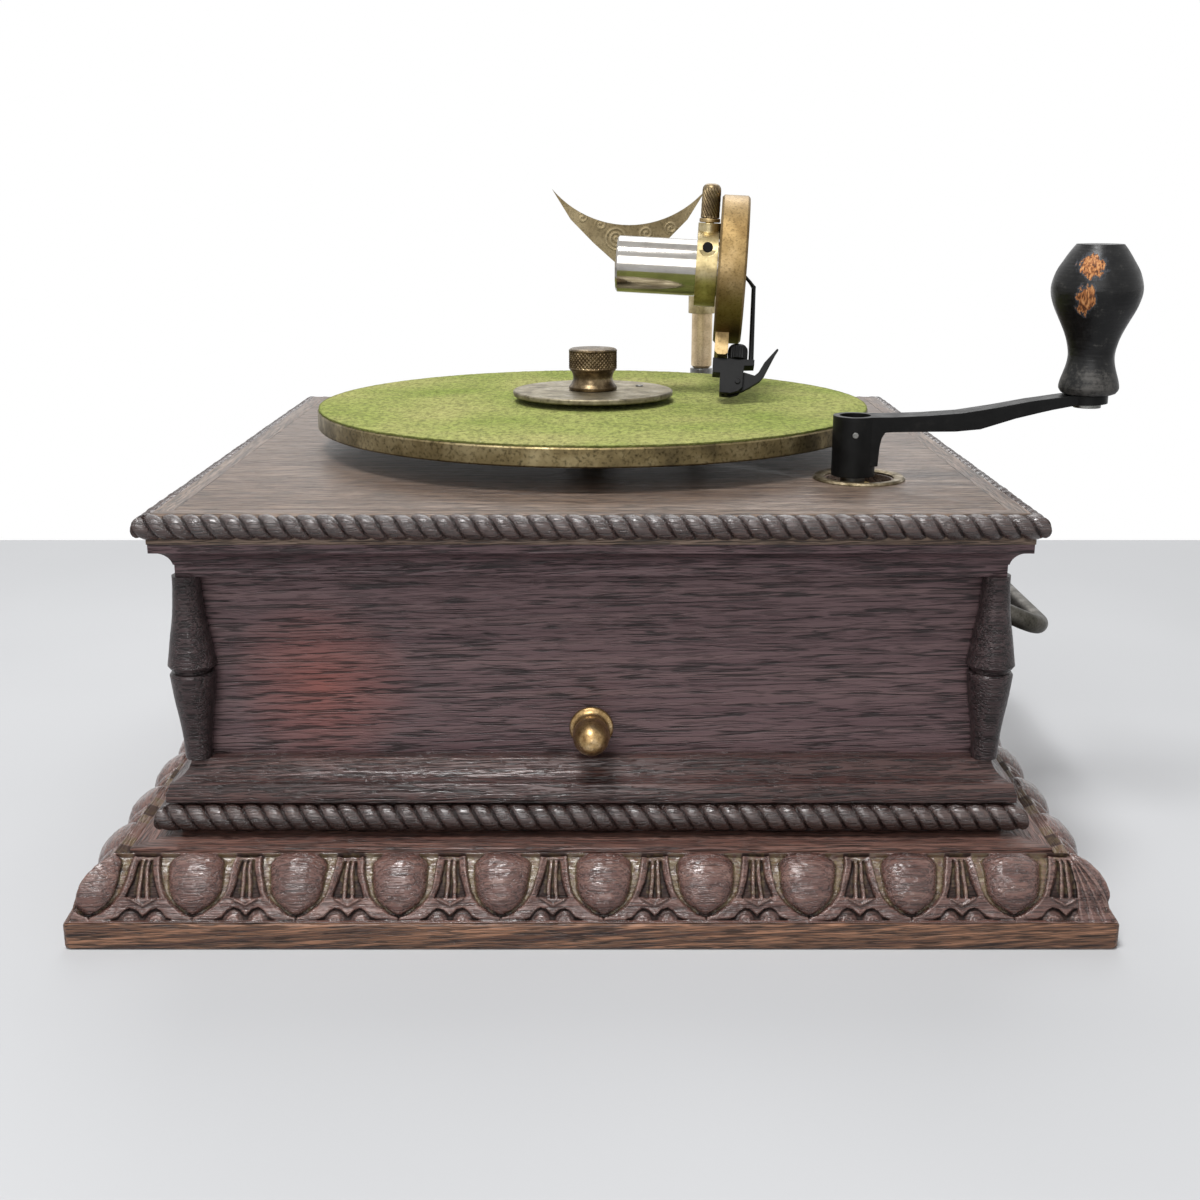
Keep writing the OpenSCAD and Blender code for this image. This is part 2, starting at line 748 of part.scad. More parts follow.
module motor_top_plate() {
    color("#b39b5e") difference() {
        union() {
            translate([0, 0, top_plate_z]) linear_extrude(plate_t) polygon(plate_outline);
            for (a = [[0, 0], crank_at]) at(a, top_plate_z + plate_t - 1)
                cylinder(r = bearing_r, h = bearing_top - top_plate_z - plate_t + 1);
        }
        plate_bores(top_plate_z, false);
        translate([0, 0, top_plate_z]) cylinder(d = shaft_d + 2 * run_fit, h = top_z);
        at(crank_at, top_plate_z - 1) cylinder(d = winding_d + 2 * run_fit, h = top_z);
        for (p = pillar_at) at(p, top_plate_z - 1) cylinder(d = 6, h = plate_t + 2);
        hanger_screws();
    }
}

module motor_bottom_plate() {
    color("#b39b5e") difference() {
        union() {
            translate([0, 0, bottom_plate_z]) linear_extrude(plate_t) polygon(plate_outline);
            translate([governor_at[0] - 6, guide_y, plate_top - 1]) cube([12, 3, brake_z - plate_top + 8]);
        }
        plate_bores(bottom_plate_z, true);
        translate([governor_at[0], guide_y + 4, brake_z]) rotate([90, 0, 0])
            cylinder(d = brake_rod_d + 2 * run_fit, h = 5);
        for (p = pillar_at) at(p, bottom_plate_z - 1) cylinder(d = 6, h = plate_t + 2);
    }
}

module motor_pillars() {
    color("#8a8a86") {
        for (p = pillar_at) at(p) {
            translate([0, 0, plate_top]) cylinder(r = 5, h = pillar_h);
            translate([0, 0, bottom_plate_z - 3]) cylinder(d = 6, h = pillar_h + 2 * plate_t + 6);
            for (z = [bottom_plate_z - 3, top_plate_z + plate_t]) translate([0, 0, z])
                cylinder(r = 5.5, h = 3, $fn = 6);
        }
        for (s = hanger_at) at(s, top_plate_z + plate_t) ring(6, 2.5, hanger_h);
    }
}

// A spring-steel click beside the winding wheel, drawn just clear of the teeth
module winding_click() {
    click_dir = 215;
    rim = tip_r(winding_wheel_n, winding_mod) + seat_gap;
    color("#77706a") at(barrel_at) rotate(click_dir) {
        translate([0, 0, winding_wheel_z + 1]) linear_extrude(4)
            polygon([[rim, 0], [rim + 3, 4], [rim + 9, 14], [rim + 16, 16], [rim + 16, 24], [rim + 8, 24],
                [rim + 5, 14], [rim + 1, 5]]);
        translate([rim + 12, 20, winding_wheel_z + 5]) cylinder(r = 3, h = top_plate_z - winding_wheel_z - 5);
    }
}

// Motor train

module winding_shaft() {
    pinion_z = winding_wheel_z - 2;
    foot_z = pinion_z - 3.5;
    color("#8a8a86") at(crank_at) {
        translate([0, 0, foot_z]) cylinder(d = winding_d, h = socket_z - 3.5 - foot_z);
        gear_on(winding_pinion_n, winding_mod, winding_pinion_t, pinion_z, crank_dir + 180, 0, winding_d);
        translate([0, 0, top_plate_z - seat_gap - 3]) ring(8, winding_d / 2, 3);
    }
}

module gear_on(n, m, h, z, towards, phase, bore) {
    translate([0, 0, z]) gear(n, m, h, bore, towards, phase);
}

module barrel_arbor() {
    color("#8a8a86") at(barrel_at) {
        translate([0, 0, bottom_plate_z + 0.2])
            cylinder(d = arbor_d, h = top_plate_z + plate_t - 0.4 - bottom_plate_z);
        translate([0, 0, barrel_z + 4]) ring(arbor_d / 2 + 2, arbor_d / 2, barrel_h - 8);
        translate([0, 0, winding_wheel_z + winding_wheel_t]) ring(arbor_d / 2 + 3, arbor_d / 2,
            top_plate_z - winding_wheel_z - winding_wheel_t - seat_gap);
        translate([0, 0, plate_top + seat_gap]) ring(arbor_d / 2 + 3, arbor_d / 2,
            great_wheel_z - plate_top - 2 * seat_gap);
    }
}

module winding_wheel() {
    color("#b39b5e") at(barrel_at) gear_on(winding_wheel_n, winding_mod, winding_wheel_t, winding_wheel_z,
        crank_dir, 0.5, arbor_d);
}

module spring_barrel() {
    r = barrel_d / 2;
    wall = 1.5;
    floor_t = 2;
    color("#b39b5e") at(barrel_at, barrel_z) {
        difference() {
            cylinder(r = r, h = barrel_h - floor_t);
            translate([0, 0, floor_t]) cylinder(r = r - wall, h = barrel_h);
            translate([0, 0, -1]) cylinder(d = arbor_d + 2 * run_fit, h = barrel_h);
        }
        translate([0, 0, barrel_h - floor_t]) ring(r, arbor_d / 2 + run_fit, floor_t);
    }
}

module great_wheel() {
    color("#b39b5e") at(barrel_at) gear_on(great_wheel_n, great_mod, great_wheel_t, great_wheel_z,
        barrel_dir + 180, 0.5, arbor_d + 2 * run_fit);
}

// The wound spring, a spiral strip from the arbor's hub out to the barrel's wall
module mainspring() {
    r1 = arbor_d / 2 + 2 + seat_gap + spring_t / 2;
    r2 = barrel_d / 2 - 1.5 - spring_t / 2 - 0.05;
    steps = spring_turns * 20;
    function at_step(i, side) =
        polar(r1 + (r2 - r1) * i / steps + side * spring_t / 2, 360 * spring_turns * i / steps);
    color("#55555a") at(barrel_at, barrel_z + 4) linear_extrude(barrel_h - 8) polygon(concat(
        [for (i = [0:steps]) at_step(i, 1)], [for (i = [steps:-1:0]) at_step(i, -1)]));
}

module middle_arbor() {
    color("#8a8a86") at(middle_at) {
        translate([0, 0, bottom_plate_z + 0.2]) cylinder(d = middle_shaft_d,
            h = top_plate_z + plate_t - 0.4 - bottom_plate_z);
        translate([0, 0, plate_top + seat_gap])
            ring(5, middle_shaft_d / 2, middle_wheel_z - plate_top - seat_gap);
        gear_on(great_pinion_n, great_mod, great_wheel_t + 3.5, great_wheel_z - 1.5, barrel_dir, 0,
            middle_shaft_d);
        translate([0, 0, great_wheel_z + 5])
            ring(4, middle_shaft_d / 2, top_plate_z - great_wheel_z - 5 - seat_gap);
    }
}

module middle_wheel() {
    color("#b39b5e") at(middle_at) gear_on(middle_wheel_n, middle_mod, middle_wheel_t, middle_wheel_z,
        middle_dir + 180, 0.5, middle_shaft_d);
}

module spindle() {
    color("#9a9a96") {
        translate([0, 0, bottom_plate_z + 1.2]) cylinder(d = shaft_d, h = centre_z - bottom_plate_z - 1.2);
        translate([0, 0, centre_z]) cylinder(d = record_pin_d, h = pin_top - centre_z - 1);
        translate([0, 0, pin_top - 1]) cylinder(d1 = record_pin_d, d2 = record_pin_d - 2, h = 1);
        gear_on(spindle_pinion_n, middle_mod, middle_wheel_t + 3, middle_wheel_z - 1.5, middle_dir, 0, shaft_d);
        translate([0, 0, shoulder_z]) ring(12, shaft_d / 2, shoulder_t);
        translate([0, 0, spindle_wheel_z + spindle_wheel_t]) ring(8, shaft_d / 2,
            top_plate_z - spindle_wheel_z - spindle_wheel_t - seat_gap);
    }
}

module spindle_wheel() {
    color("#b39b5e") gear_on(spindle_wheel_n, governor_mod, spindle_wheel_t, spindle_wheel_z, governor_dir, 0,
        shaft_d);
}

module governor_shaft() {
    hub = governor_shaft_d / 2 + 2.9;
    color("#8a8a86") at(governor_at) {
        translate([0, 0, bottom_plate_z + 0.2]) cylinder(d = governor_shaft_d,
            h = top_plate_z + plate_t - 0.4 - bottom_plate_z);
        gear_on(governor_pinion_n, governor_mod, spindle_wheel_t + 5, spindle_wheel_z - 2.5,
            governor_dir + 180, 0.5, governor_shaft_d);
        translate([0, 0, plate_top + seat_gap]) ring(3.5, governor_shaft_d / 2, 2.5);
        for (z = [disc_z + disc_t + 3, disc_z + disc_t + 33]) translate([0, 0, z])
            ring(hub, governor_shaft_d / 2, 5);
    }
}

module governor_disc() {
    color("#b39b5e") at(governor_at) {
        translate([0, 0, disc_z]) ring(governor_disc_d / 2, governor_shaft_d / 2, disc_t);
        translate([0, 0, disc_z + disc_t]) ring(5, governor_shaft_d / 2, 3);
    }
}

// Three weights on flat springs between the shaft's two collars
module governor_weights() {
    inner_r = governor_shaft_d / 2 + 2.9;
    weight_r = 4.5;
    bow = weight_reach - weight_r + 0.4;
    low = disc_z + disc_t + 4;
    high = disc_z + disc_t + 37;
    mid = (low + high) / 2;
    color("#7a7468") at(governor_at) for (i = [0:2]) rotate(30 + 120 * i) {
        translate([0, 2.5, 0]) rotate([90, 0, 0]) linear_extrude(5) polygon([[inner_r, low],
            [inner_r + 0.6, low], [bow, mid - 5], [bow, mid + 5], [inner_r + 0.6, high], [inner_r, high],
            [bow - 0.6, mid + 5], [bow - 0.6, mid - 5]]);
        translate([weight_reach, 0, mid - 5.5]) cylinder(r = weight_r, h = 11);
    }
}

// Turntable

module platter() {
    r = table_d / 2;
    color("#9c8d68") rotate_extrude() polygon([[shaft_d / 2, hub_z], [hub_d / 2, hub_z],
        [hub_d / 2, table_z - table_t], [r - rim_t, table_z - table_t], [r - rim_t, rim_z + 0.6],
        [r - rim_t + 0.6, rim_z],
        [r - 0.6, rim_z], [r, rim_z + 0.6], [r, table_z - 0.6], [r - 0.6, table_z], [hub_d / 2, table_z],
        [hub_d / 2, centre_z], [shaft_d / 2, centre_z]]);
}

module turntable_felt() {
    color("#7f9440") translate([0, 0, table_z]) ring(table_d / 2 - 0.2, hub_d / 2, felt_t);
}

module centre_plate() {
    r = centre_plate_d / 2;
    color("#a39c86") difference() {
        translate([0, 0, centre_z]) rotate_extrude() polygon([[record_pin_d / 2, 0], [r - 0.5, 0], [r, 0.5],
            [r, centre_plate_t - 0.5], [r - 0.5, centre_plate_t], [record_pin_d / 2, centre_plate_t]]);
        at(plate_pin_at, centre_z - 1) cylinder(d = plate_pin_d, h = centre_plate_t + 2);
    }
}
plate_pin_at = [22, 12];
plate_pin_d = 3.5;

module plate_pin() {
    color("#4a4236") at(plate_pin_at, felt_top) cylinder(d = plate_pin_d, h = centre_top + 0.6 - felt_top);
}

module turntable_nut() {
    r = nut_d / 2;
    w = r - 2.2;
    head = nut_h - 9;
    color("#7d6a45") translate([0, 0, centre_top + 0.2]) difference() {
        rotate_extrude() polygon(concat([[0, 0], [r, 0], [r, 1.4]], arc([r + 0.6, 5.2], 2.8, 250, 130, 6),
            [[r, head], [r, nut_h - 0.6], [r - 0.6, nut_h], [0, nut_h]]));
        translate([0, 0, -1]) cylinder(d = record_pin_d + 2 * run_fit, h = record_pin_h + 2);
    }
}

// Crank

module crank_profile() {
    x0 = crank_at[0];
    bulge = socket_d / 2;
    end = crank_throw + 9.5;
    polygon([[x0, socket_z - 20], [x0 + bulge, socket_z - 20], [x0 + bulge + 0.5, socket_z - 12],
        [x0 + bulge + 1.2, socket_z - 8.5], [x0 + bulge + 2.6, arm_low - 0.2], [x0 + bulge + 5.5, arm_low],
        [x0 + 40, arm_low + 0.1],
        [x0 + 50, arm_low + 1], [x0 + 64, arm_end_z - 9.2], [x0 + 79, arm_end_z - 5.6],
        [x0 + 88, arm_end_z - 3.8],
        [x0 + end, arm_end_z - 3.2], [x0 + end, arm_end_z], [x0 + 86, arm_end_z], [x0 + 70, arm_end_z - 2.2],
        [x0 + 56, arm_end_z - 4.8], [x0 + 42, arm_end_z - 7], [x0 + 28, arm_end_z - 8], [x0 + 14, socket_z],
        [x0, socket_z]]);
}

module crank_plan() {
    tip = 8;
    union() {
        polygon([[0, -arm_w / 2], [24, -arm_w / 2 + 1], [crank_throw - 20, -5], [crank_throw, -6],
            [crank_throw, 6], [crank_throw - 20, 5], [24, arm_w / 2 - 1], [0, arm_w / 2]]);
        translate([crank_throw, 0]) circle(r = tip);
    }
}

module crank_arm() {
    color("#2b2b2d") difference() {
        union() {
            at(crank_at, socket_bottom) cylinder(d = socket_d, h = socket_z - socket_bottom);
            intersection() {
                translate([0, crank_at[1] + 20, 0]) rotate([90, 0, 0]) linear_extrude(40) crank_profile();
                at(crank_at, socket_bottom) linear_extrude(60) crank_plan();
            }
        }
        at(crank_at, socket_bottom - 1) cylinder(d = winding_d, h = socket_top);
        at(crank_at, socket_z - 3.5) cylinder(d = 12.7, h = 4);
        crank_pins_solid();
    }
}

// The knob's rivet and the taper pin that holds the crank on its shaft
module crank_pins_solid() {
    at(crank_at + [crank_throw, 0]) {
        translate([0, 0, arm_end_z - 5]) cylinder(d = crank_pin_d, h = knob_h - 4);
        translate([0, 0, arm_end_z - 5.2]) cylinder(r = 5.5, h = 1.8);
    }
    translate([crank_at[0] - 1, crank_at[1] - socket_d / 2 - 0.3, socket_z - 7]) rotate([-90, 0, 0])
        cylinder(d = 2.4, h = socket_d / 2 - winding_d / 2 + 0.3);
}

module crank_pins() {
    color("#77706a") crank_pins_solid();
}

module crank_knob() {
    r = knob_d / 2;
    color("#1f1f20") at(crank_at + [crank_throw, 0], arm_end_z + seat_gap) difference() {
        rotate_extrude() polygon([[0, 0], [r * 0.6, 0], [r * 0.66, 1.2], [r * 0.67, 3.2], [r * 0.62, 6],
            [r * 0.55, 9], [r * 0.52, 14], [r * 0.55, 18], [r * 0.66, 24], [r * 0.84, 31], [r * 0.95, 35.5],
            [r, knob_h * 0.675], [r * 0.985, knob_h * 0.75], [r * 0.93, knob_h * 0.83],
            [r * 0.83, knob_h * 0.91],
            [r * 0.68, knob_h * 0.975], [r * 0.57, knob_h], [0, knob_h]]);
        translate([0, 0, -1]) cylinder(d = crank_pin_d + 2 * run_fit, h = knob_h - 7);
    }
}

// Swinging arm

module arm_sleeve() {
    r = sleeve_d / 2;
    color("#c2a066") at([pivot_x, pivot_y]) difference() {
        translate([0, 0, sleeve_z]) rotate_extrude() polygon([[0, 0], [r - 1.5, 0], [r, 1.5],
            [r, sleeve_top - sleeve_z - 1], [r - 1, sleeve_top - sleeve_z], [0, sleeve_top - sleeve_z]]);
        translate([0, 0, sleeve_z - 1]) cylinder(r = post_r + run_fit, h = sleeve_top - sleeve_z - 0.7);
    }
}

// Everything on the tube's axis, from the sound box's middle: local Z runs to the right, local X runs down
module on_tube() {
    translate([sound_box_x, box_y, box_z]) rotate([0, 0, -tube_yaw]) rotate([0, 90 + tube_tilt, 0]) children();
}

// The needle's bar hangs from the axis, leaning to the front
module on_bar() {
    on_tube() rotate([0, 0, -bar_lean]) children();
}

ring_mid = [sound_box_x, box_y] + polar((clamp_z + clamp_w / 2) * cos(tube_tilt), -tube_yaw);

module travelling_arm() {
    d = ring_mid - [pivot_x, pivot_y];
    color("#a38b52") difference() {
        union() {
            at([pivot_x, pivot_y], arm_hub_z) cylinder(r = arm_hub_r, h = arm_z + arm_t + 2 - arm_hub_z);
            at([pivot_x, pivot_y], arm_z) rotate(atan2(d[1], d[0])) translate([0, -arm_bar_w / 2, 0])
                cube([norm(d), arm_bar_w, arm_t]);
        }
        at([pivot_x, pivot_y], arm_hub_z - 1) cylinder(d = sleeve_d, h = 60);
        on_tube() translate([0, 0, -tube_len]) cylinder(d = clamp_d, h = tube_len + 20);
    }
}

module clamp_ring() {
    color("#a38b52") on_tube() difference() {
        union() {
            translate([0, 0, clamp_z]) cylinder(d = clamp_d, h = clamp_w);
            translate([-boss_top, 0, clamp_z + clamp_w / 2]) rotate([0, 90, 0])
                cylinder(r = boss_r, h = boss_top - neck_r - 1);
        }
        translate([0, 0, clamp_z - 1]) cylinder(r = neck_r + run_fit, h = clamp_w + 2);
        translate([-boss_top - 1, 0, clamp_z + clamp_w / 2]) rotate([0, 90, 0])
            cylinder(r = clamp_screw_r + run_fit, h = boss_top);
        ring_hole() cylinder(r = grub_r, h = clamp_d);
        ring_hole() translate([0, 0, 3.4]) cylinder(r = 4, h = clamp_d);
    }
}

// The tapped hole in the front of the ring, from its bottom outwards
module ring_hole() {
    translate([-10.2, -11.6, clamp_z + clamp_w / 2]) rotate([90, 0, 0]) children();
}

module ring_screw() {
    color("#2e2a26") on_tube() ring_hole() cylinder(r = grub_r, h = 1);
}
grub_r = 2.35;

module horn_cradle() {
    t = 3;
    plate_y = pivot_y - 15;
    mid_x = pivot_x - 43.3;
    tip_z = box_z + 37;
    drop = sqrt(pow(horn_d / 2, 2) - pow(cradle_w / 2, 2));
    span = asin(cradle_w / horn_d);
    neck = 8;
    low = arm_z - 1;
    c = [mid_x, tip_z + drop];
    color("#a89a70") {
        difference() {
            translate([0, plate_y + t / 2, 0]) rotate([90, 0, 0]) linear_extrude(t) polygon(concat(
                arc(c, horn_d / 2, 270 - span, 270 + span, 24),
                [[mid_x + 33, tip_z - 16.5], [mid_x + 20, tip_z - 29.5], [mid_x + neck, tip_z - 40],
                [mid_x + neck, low], [mid_x - neck, low], [mid_x - neck, tip_z - 40],
                [mid_x - 20, tip_z - 29.5],
                [mid_x - 33, tip_z - 16.5]]));
        }
        difference() {
            translate([mid_x - neck, plate_y + t / 2, low]) cube([pivot_x - mid_x + neck, 5, 8]);
            at([pivot_x, pivot_y], low - 5) cylinder(r = arm_hub_r, h = 20);
            arm_cut(low);
        }
    }
}

// Room for the arm's bar in what is fixed to its side
module arm_cut(z) {
    d = ring_mid - [pivot_x, pivot_y];
    at([pivot_x, pivot_y], z - 5) rotate(atan2(d[1], d[0])) translate([0, -arm_bar_w / 2, 0])
        cube([norm(d), arm_bar_w + 60, arm_t + 20]);
}

module clamp_screw() {
    r = 4.25;
    top = boss_top + 17.8;
    ferrule = boss_top + seat_gap;
    color("#7d6a45") on_tube() translate([0, 0, clamp_z + clamp_w / 2]) rotate([0, -90, 0]) rotate_extrude()
        polygon([[0, neck_r + 0.8], [clamp_screw_r, neck_r + 0.8], [clamp_screw_r, ferrule], [r + 0.2, ferrule],
            [r + 0.2, ferrule + 3], [r, ferrule + 3.4], [r, top - 2.5], [r - 0.7, top - 1], [r - 2, top],
            [0, top]]);
}

// Sound box

module sound_box_case() {
    r = box_d / 2;
    color("#b08f4e") on_tube() {
        rotate_extrude() polygon([[neck_r, -box_half], [r - 1, -box_half], [r, 1 - box_half],
            [r, box_half - 1], [r - 1, box_half], [r - rim_w, box_half], [r - rim_w, gasket_z],
            [r - rim_w - gasket_w, gasket_z], [r - rim_w - gasket_w, 3 - box_half], [neck_r, 3 - box_half]]);
        translate([0, 0, gasket_z + 2 * gasket_t + mica_t]) ring(r - rim_w, r - rim_w - gasket_w + 0.5,
            box_half - gasket_z - 2 * gasket_t - mica_t);
    }
}
rim_w = 4;
gasket_w = 5;
gasket_z = 0.5;
gasket_t = 1.5;
mica_t = 0.3;
mica_z = gasket_z + gasket_t;
boss_t = 0.8;

module horn_tube() {
    r = tube_d / 2;
    bore = r - 1.5;
    low = -box_half - tube_len;
    step = clamp_z - seat_gap;
    color("#c9c7c0") on_tube() rotate_extrude() polygon([[bore, low], [r - 0.8, low], [r, low + 0.8],
        [r, step], [neck_r, step], [neck_r, 3 - box_half], [bore, 3 - box_half]]);
}

module diaphragm() {
    color("#d8cfae") on_tube() translate([0, 0, mica_z]) {
        cylinder(r = box_d / 2 - rim_w - 0.5, h = mica_t);
        translate([0, 0, mica_t]) cylinder(r = 2.2, h = boss_t);
    }
}

module diaphragm_gaskets() {
    color("#6a4038") on_tube() for (z = [gasket_z, mica_z + mica_t]) translate([0, 0, z])
        ring(box_d / 2 - rim_w, box_d / 2 - rim_w - gasket_w, gasket_t);
}

// Sections of the needle's parts are drawn along the bar (X) and along the tube (Y)
knurl_at = 5.5;
knurl_r = 4.6;
knurl_end = holder_reach - 17.1;
holder_top = knurl_end + seat_gap;
rivet_at = [holder_reach - 5.9, 6.1];
rivet_r = 1.2;
bar_knee = [5.6, 0, 9];
bar_bend = [8.2, 0, 10.9];
bar_end = [holder_top + 2.2, 0, 11.85];

module bar_section(w) {
    translate([0, w / 2, 0]) rotate([90, 0, 0]) linear_extrude(w) children();
}

// The brass block that carries the needle's parts, seated against the sound box's rim
module pivot_block() {
    end = knurl_end - 0.6;
    color("#c09c58") difference() {
        on_bar() bar_section(11) polygon([[30, -5.4], [end - 1.5, -5.4], [end, -3.9], [end, -0.2],
            [end - 1, 0.8], [30, 0.8]]);
        on_tube() translate([0, 0, -box_t]) cylinder(d = box_d, h = 2 * box_t);
        on_bar() translate([0, 0, knurl_at]) rotate([0, 90, 0]) cylinder(r = knurl_r, h = holder_reach);
    }
}

// A domed knurled collar on the needle's pivot
module pivot_knurl() {
    ribs = 24;
    low = knurl_end - 7.6;
    color("#2b2b2d") on_bar() translate([0, 0, knurl_at]) rotate([0, 90, 0]) intersection() {
        linear_extrude(holder_reach) polygon([for (i = [0:2 * ribs - 1]) polar(knurl_r - (i % 2) * 0.35,
            180 * i / ribs)]);
        rotate_extrude() polygon([[0, low], [knurl_r - 2.4, low], [knurl_r - 1, low + 0.6],
            [knurl_r - 0.2, low + 1.7], [knurl_r, low + 3], [knurl_r, knurl_end], [0, knurl_end]]);
    }
}

module bar_solid() {
    foot = [0, 0, mica_z + mica_t + boss_t + seat_gap + 0.55];
    bar(foot, bar_knee, 0.75, 0.8);
    translate(bar_knee) sphere(r = 0.86);
    bar(bar_knee, bar_bend, 0.8, 1);
    translate(bar_bend) sphere(r = 1.08);
    bar(bar_bend, bar_end, 1, 1.25);
}

module stylus_bar() {
    color("#232325") on_bar() bar_solid();
}

// A fork with a hole for the needle; the lever turns between its cheeks
module needle_holder() {
    h = holder_reach;
    top = holder_top;
    color("#2b2b2d") on_bar() {
        difference() {
            bar_section(6.4) polygon([[top, -5.8], [top, 13.3], [top + 2.8, 13.3], [top + 3.2, 8.8],
                [top + 5.6, 8.6], [h - 3.2, 8.5], [h - 1.2, 6.6], [h, 3.2], [h - 0.2, -1.8], [top + 7.2, -2.1],
                [top + 7.2, -5.6]]);
            bar_section(2.6) translate([top + 3.8, 1.9]) square([h, 12]);
            translate([top + 8, 0, -0.1]) rotate([0, 90, 0]) cylinder(d = 1.7, h = 20);
            bar_solid();
        }
        translate([rivet_at[0], 3.7, rivet_at[1]]) rotate([90, 0, 0]) cylinder(r = rivet_r, h = 7.4);
    }
}

module holder_lever() {
    x = rivet_at[0];
    color("#2b2b2d") on_bar() bar_section(2) difference() {
        polygon([[x - 3.2, 4.6], [x - 5.4, 8.9], [x - 4.1, 13.8], [x - 5.7, 15.5], [x - 10.8, 18],
            [x - 17.9, 23.4], [x - 17.6, 24.1], [x - 15.4, 22.9], [x - 7.2, 19.4], [x - 4.1, 18.1],
            [x - 1.5, 16.3], [x + 1.8, 11.9], [x + 4.2, 8.1], [x + 3.4, 4.6], [x + 1.6, 2.8], [x - 1.6, 2.8]]);
        translate(rivet_at) circle(r = rivet_r + run_fit);
    }
}

base_moulding();
bottom_board();
lower_moulding();
front_panel();
rear_panel();
left_panel();
right_panel();
corner_spindles();
upper_moulding();
top_board();
case_screws();
crank_escutcheon();
handle_posts();
support_bracket();
pivot_post();
motor_top_plate();
motor_bottom_plate();
motor_pillars();
winding_click();
brake_knob();
brake_rod();
brake_pad();
left_handle();
right_handle();
platter();
turntable_felt();
centre_plate();
plate_pin();
spindle();
spindle_wheel();
turntable_nut();
crank_arm();
crank_pins();
winding_shaft();
crank_knob();
barrel_arbor();
winding_wheel();
spring_barrel();
great_wheel();
mainspring();
middle_arbor();
middle_wheel();
governor_shaft();
governor_disc();
governor_weights();
arm_sleeve();
travelling_arm();
clamp_ring();
ring_screw();
horn_cradle();
clamp_screw();
sound_box_case();
horn_tube();
diaphragm();
diaphragm_gaskets();
pivot_block();
pivot_knurl();
stylus_bar();
needle_holder();
holder_lever();
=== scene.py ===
import math

import bpy
from mathutils import Matrix, Vector, noise


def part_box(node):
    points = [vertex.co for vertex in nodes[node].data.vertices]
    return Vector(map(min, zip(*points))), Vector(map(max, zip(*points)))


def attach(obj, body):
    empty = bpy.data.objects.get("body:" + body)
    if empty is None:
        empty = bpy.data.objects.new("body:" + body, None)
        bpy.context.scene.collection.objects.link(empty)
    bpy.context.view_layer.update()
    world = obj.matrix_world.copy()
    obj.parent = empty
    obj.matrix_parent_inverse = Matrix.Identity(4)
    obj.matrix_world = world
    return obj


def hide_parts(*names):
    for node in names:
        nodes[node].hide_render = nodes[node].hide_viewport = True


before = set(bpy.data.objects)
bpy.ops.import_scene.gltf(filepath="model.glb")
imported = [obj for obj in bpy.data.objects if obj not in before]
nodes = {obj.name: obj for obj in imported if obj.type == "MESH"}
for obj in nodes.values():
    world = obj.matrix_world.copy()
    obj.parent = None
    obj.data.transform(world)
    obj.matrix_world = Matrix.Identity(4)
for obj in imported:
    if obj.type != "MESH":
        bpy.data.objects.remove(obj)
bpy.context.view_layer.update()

MM = 0.001


def span(node, axis):
    """The lowest and highest value of a solid along one axis, in millimetres."""
    low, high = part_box(node)
    return low[axis] / MM, high[axis] / MM


def middle(node, axis):
    """The middle of a solid along one axis, in millimetres."""
    return sum(span(node, axis)) / 2


# Sizes read from the frame, in millimetres
PANEL = span("front_panel", 0)[1]
BASE_EDGE = span("base_moulding", 0)[1]
BASE_TOP = span("base_moulding", 2)[1]
LOWER_BOTTOM, LOWER_TOP = span("lower_moulding", 2)
TOP_UNDER, TOP_Z = span("top_board", 2)
TOP_EDGE = span("top_board", 0)[1]
KNOB_MID = (middle("crank_knob", 0), middle("crank_knob", 1))
KNOB_TOP = span("crank_knob", 2)[1]


# Camera

CAMERA_PLACE = (0.0033, -0.6945, 0.2719)
CAMERA_TILT = math.radians(74.65)
LENS = 44.49
FILM_WIDTH = 36


def set_camera():
    """The photograph's view: a little right of the middle, looking down at the turntable."""
    lens = bpy.data.cameras.new("camera")
    lens.lens = LENS
    lens.sensor_width = FILM_WIDTH
    camera = bpy.data.objects.new("camera", lens)
    camera.location = CAMERA_PLACE
    camera.rotation_euler = (CAMERA_TILT, 0, 0)
    bpy.context.scene.collection.objects.link(camera)
    bpy.context.scene.camera = camera
    bpy.context.scene.view_settings.view_transform = "Standard"


# Shader nodes

def hex_colour(text):
    """An sRGB hex colour as linear red, green, blue and alpha."""
    values = [int(text[i:i + 2], 16) / 255 for i in (1, 3, 5)]
    linear = [v / 12.92 if v <= 0.04045 else ((v + 0.055) / 1.055) ** 2.4 for v in values]
    return (*linear, 1.0)


def add(owner, kind, inputs=None, stops=None, out=None, **settings):
    """Adds a shader node with its settings, colour stops and links, and returns its output."""
    node = owner.node_tree.nodes.new("ShaderNode" + kind)
    for name, value in settings.items():
        setattr(node, name, value)
    if stops:
        while len(node.color_ramp.elements) < len(stops):
            node.color_ramp.elements.new(0.5)
        for element, (position, colour) in zip(node.color_ramp.elements, stops):
            element.position = position
            element.color = hex_colour(colour) if isinstance(colour, str) else (colour, colour, colour, 1)
    for name, value in (inputs or {}).items():
        if isinstance(name, int):
            socket = node.inputs[name]
        else:
            socket = next(s for s in node.inputs if s.name == name and s.enabled)
        if isinstance(value, bpy.types.NodeSocket):
            owner.node_tree.links.new(value, socket)
        else:
            socket.default_value = value
    if kind.startswith("Output"):
        return None
    return node.outputs[out] if out else next(s for s in node.outputs if s.enabled)


def calc(owner, operation, *values):
    """One step of arithmetic."""
    return add(owner, "Math", dict(enumerate(values)), operation=operation)


def calc_vector(owner, operation, *values, out=None):
    """One step of arithmetic on places."""
    return add(owner, "VectorMath", dict(enumerate(values)), out=out, operation=operation)


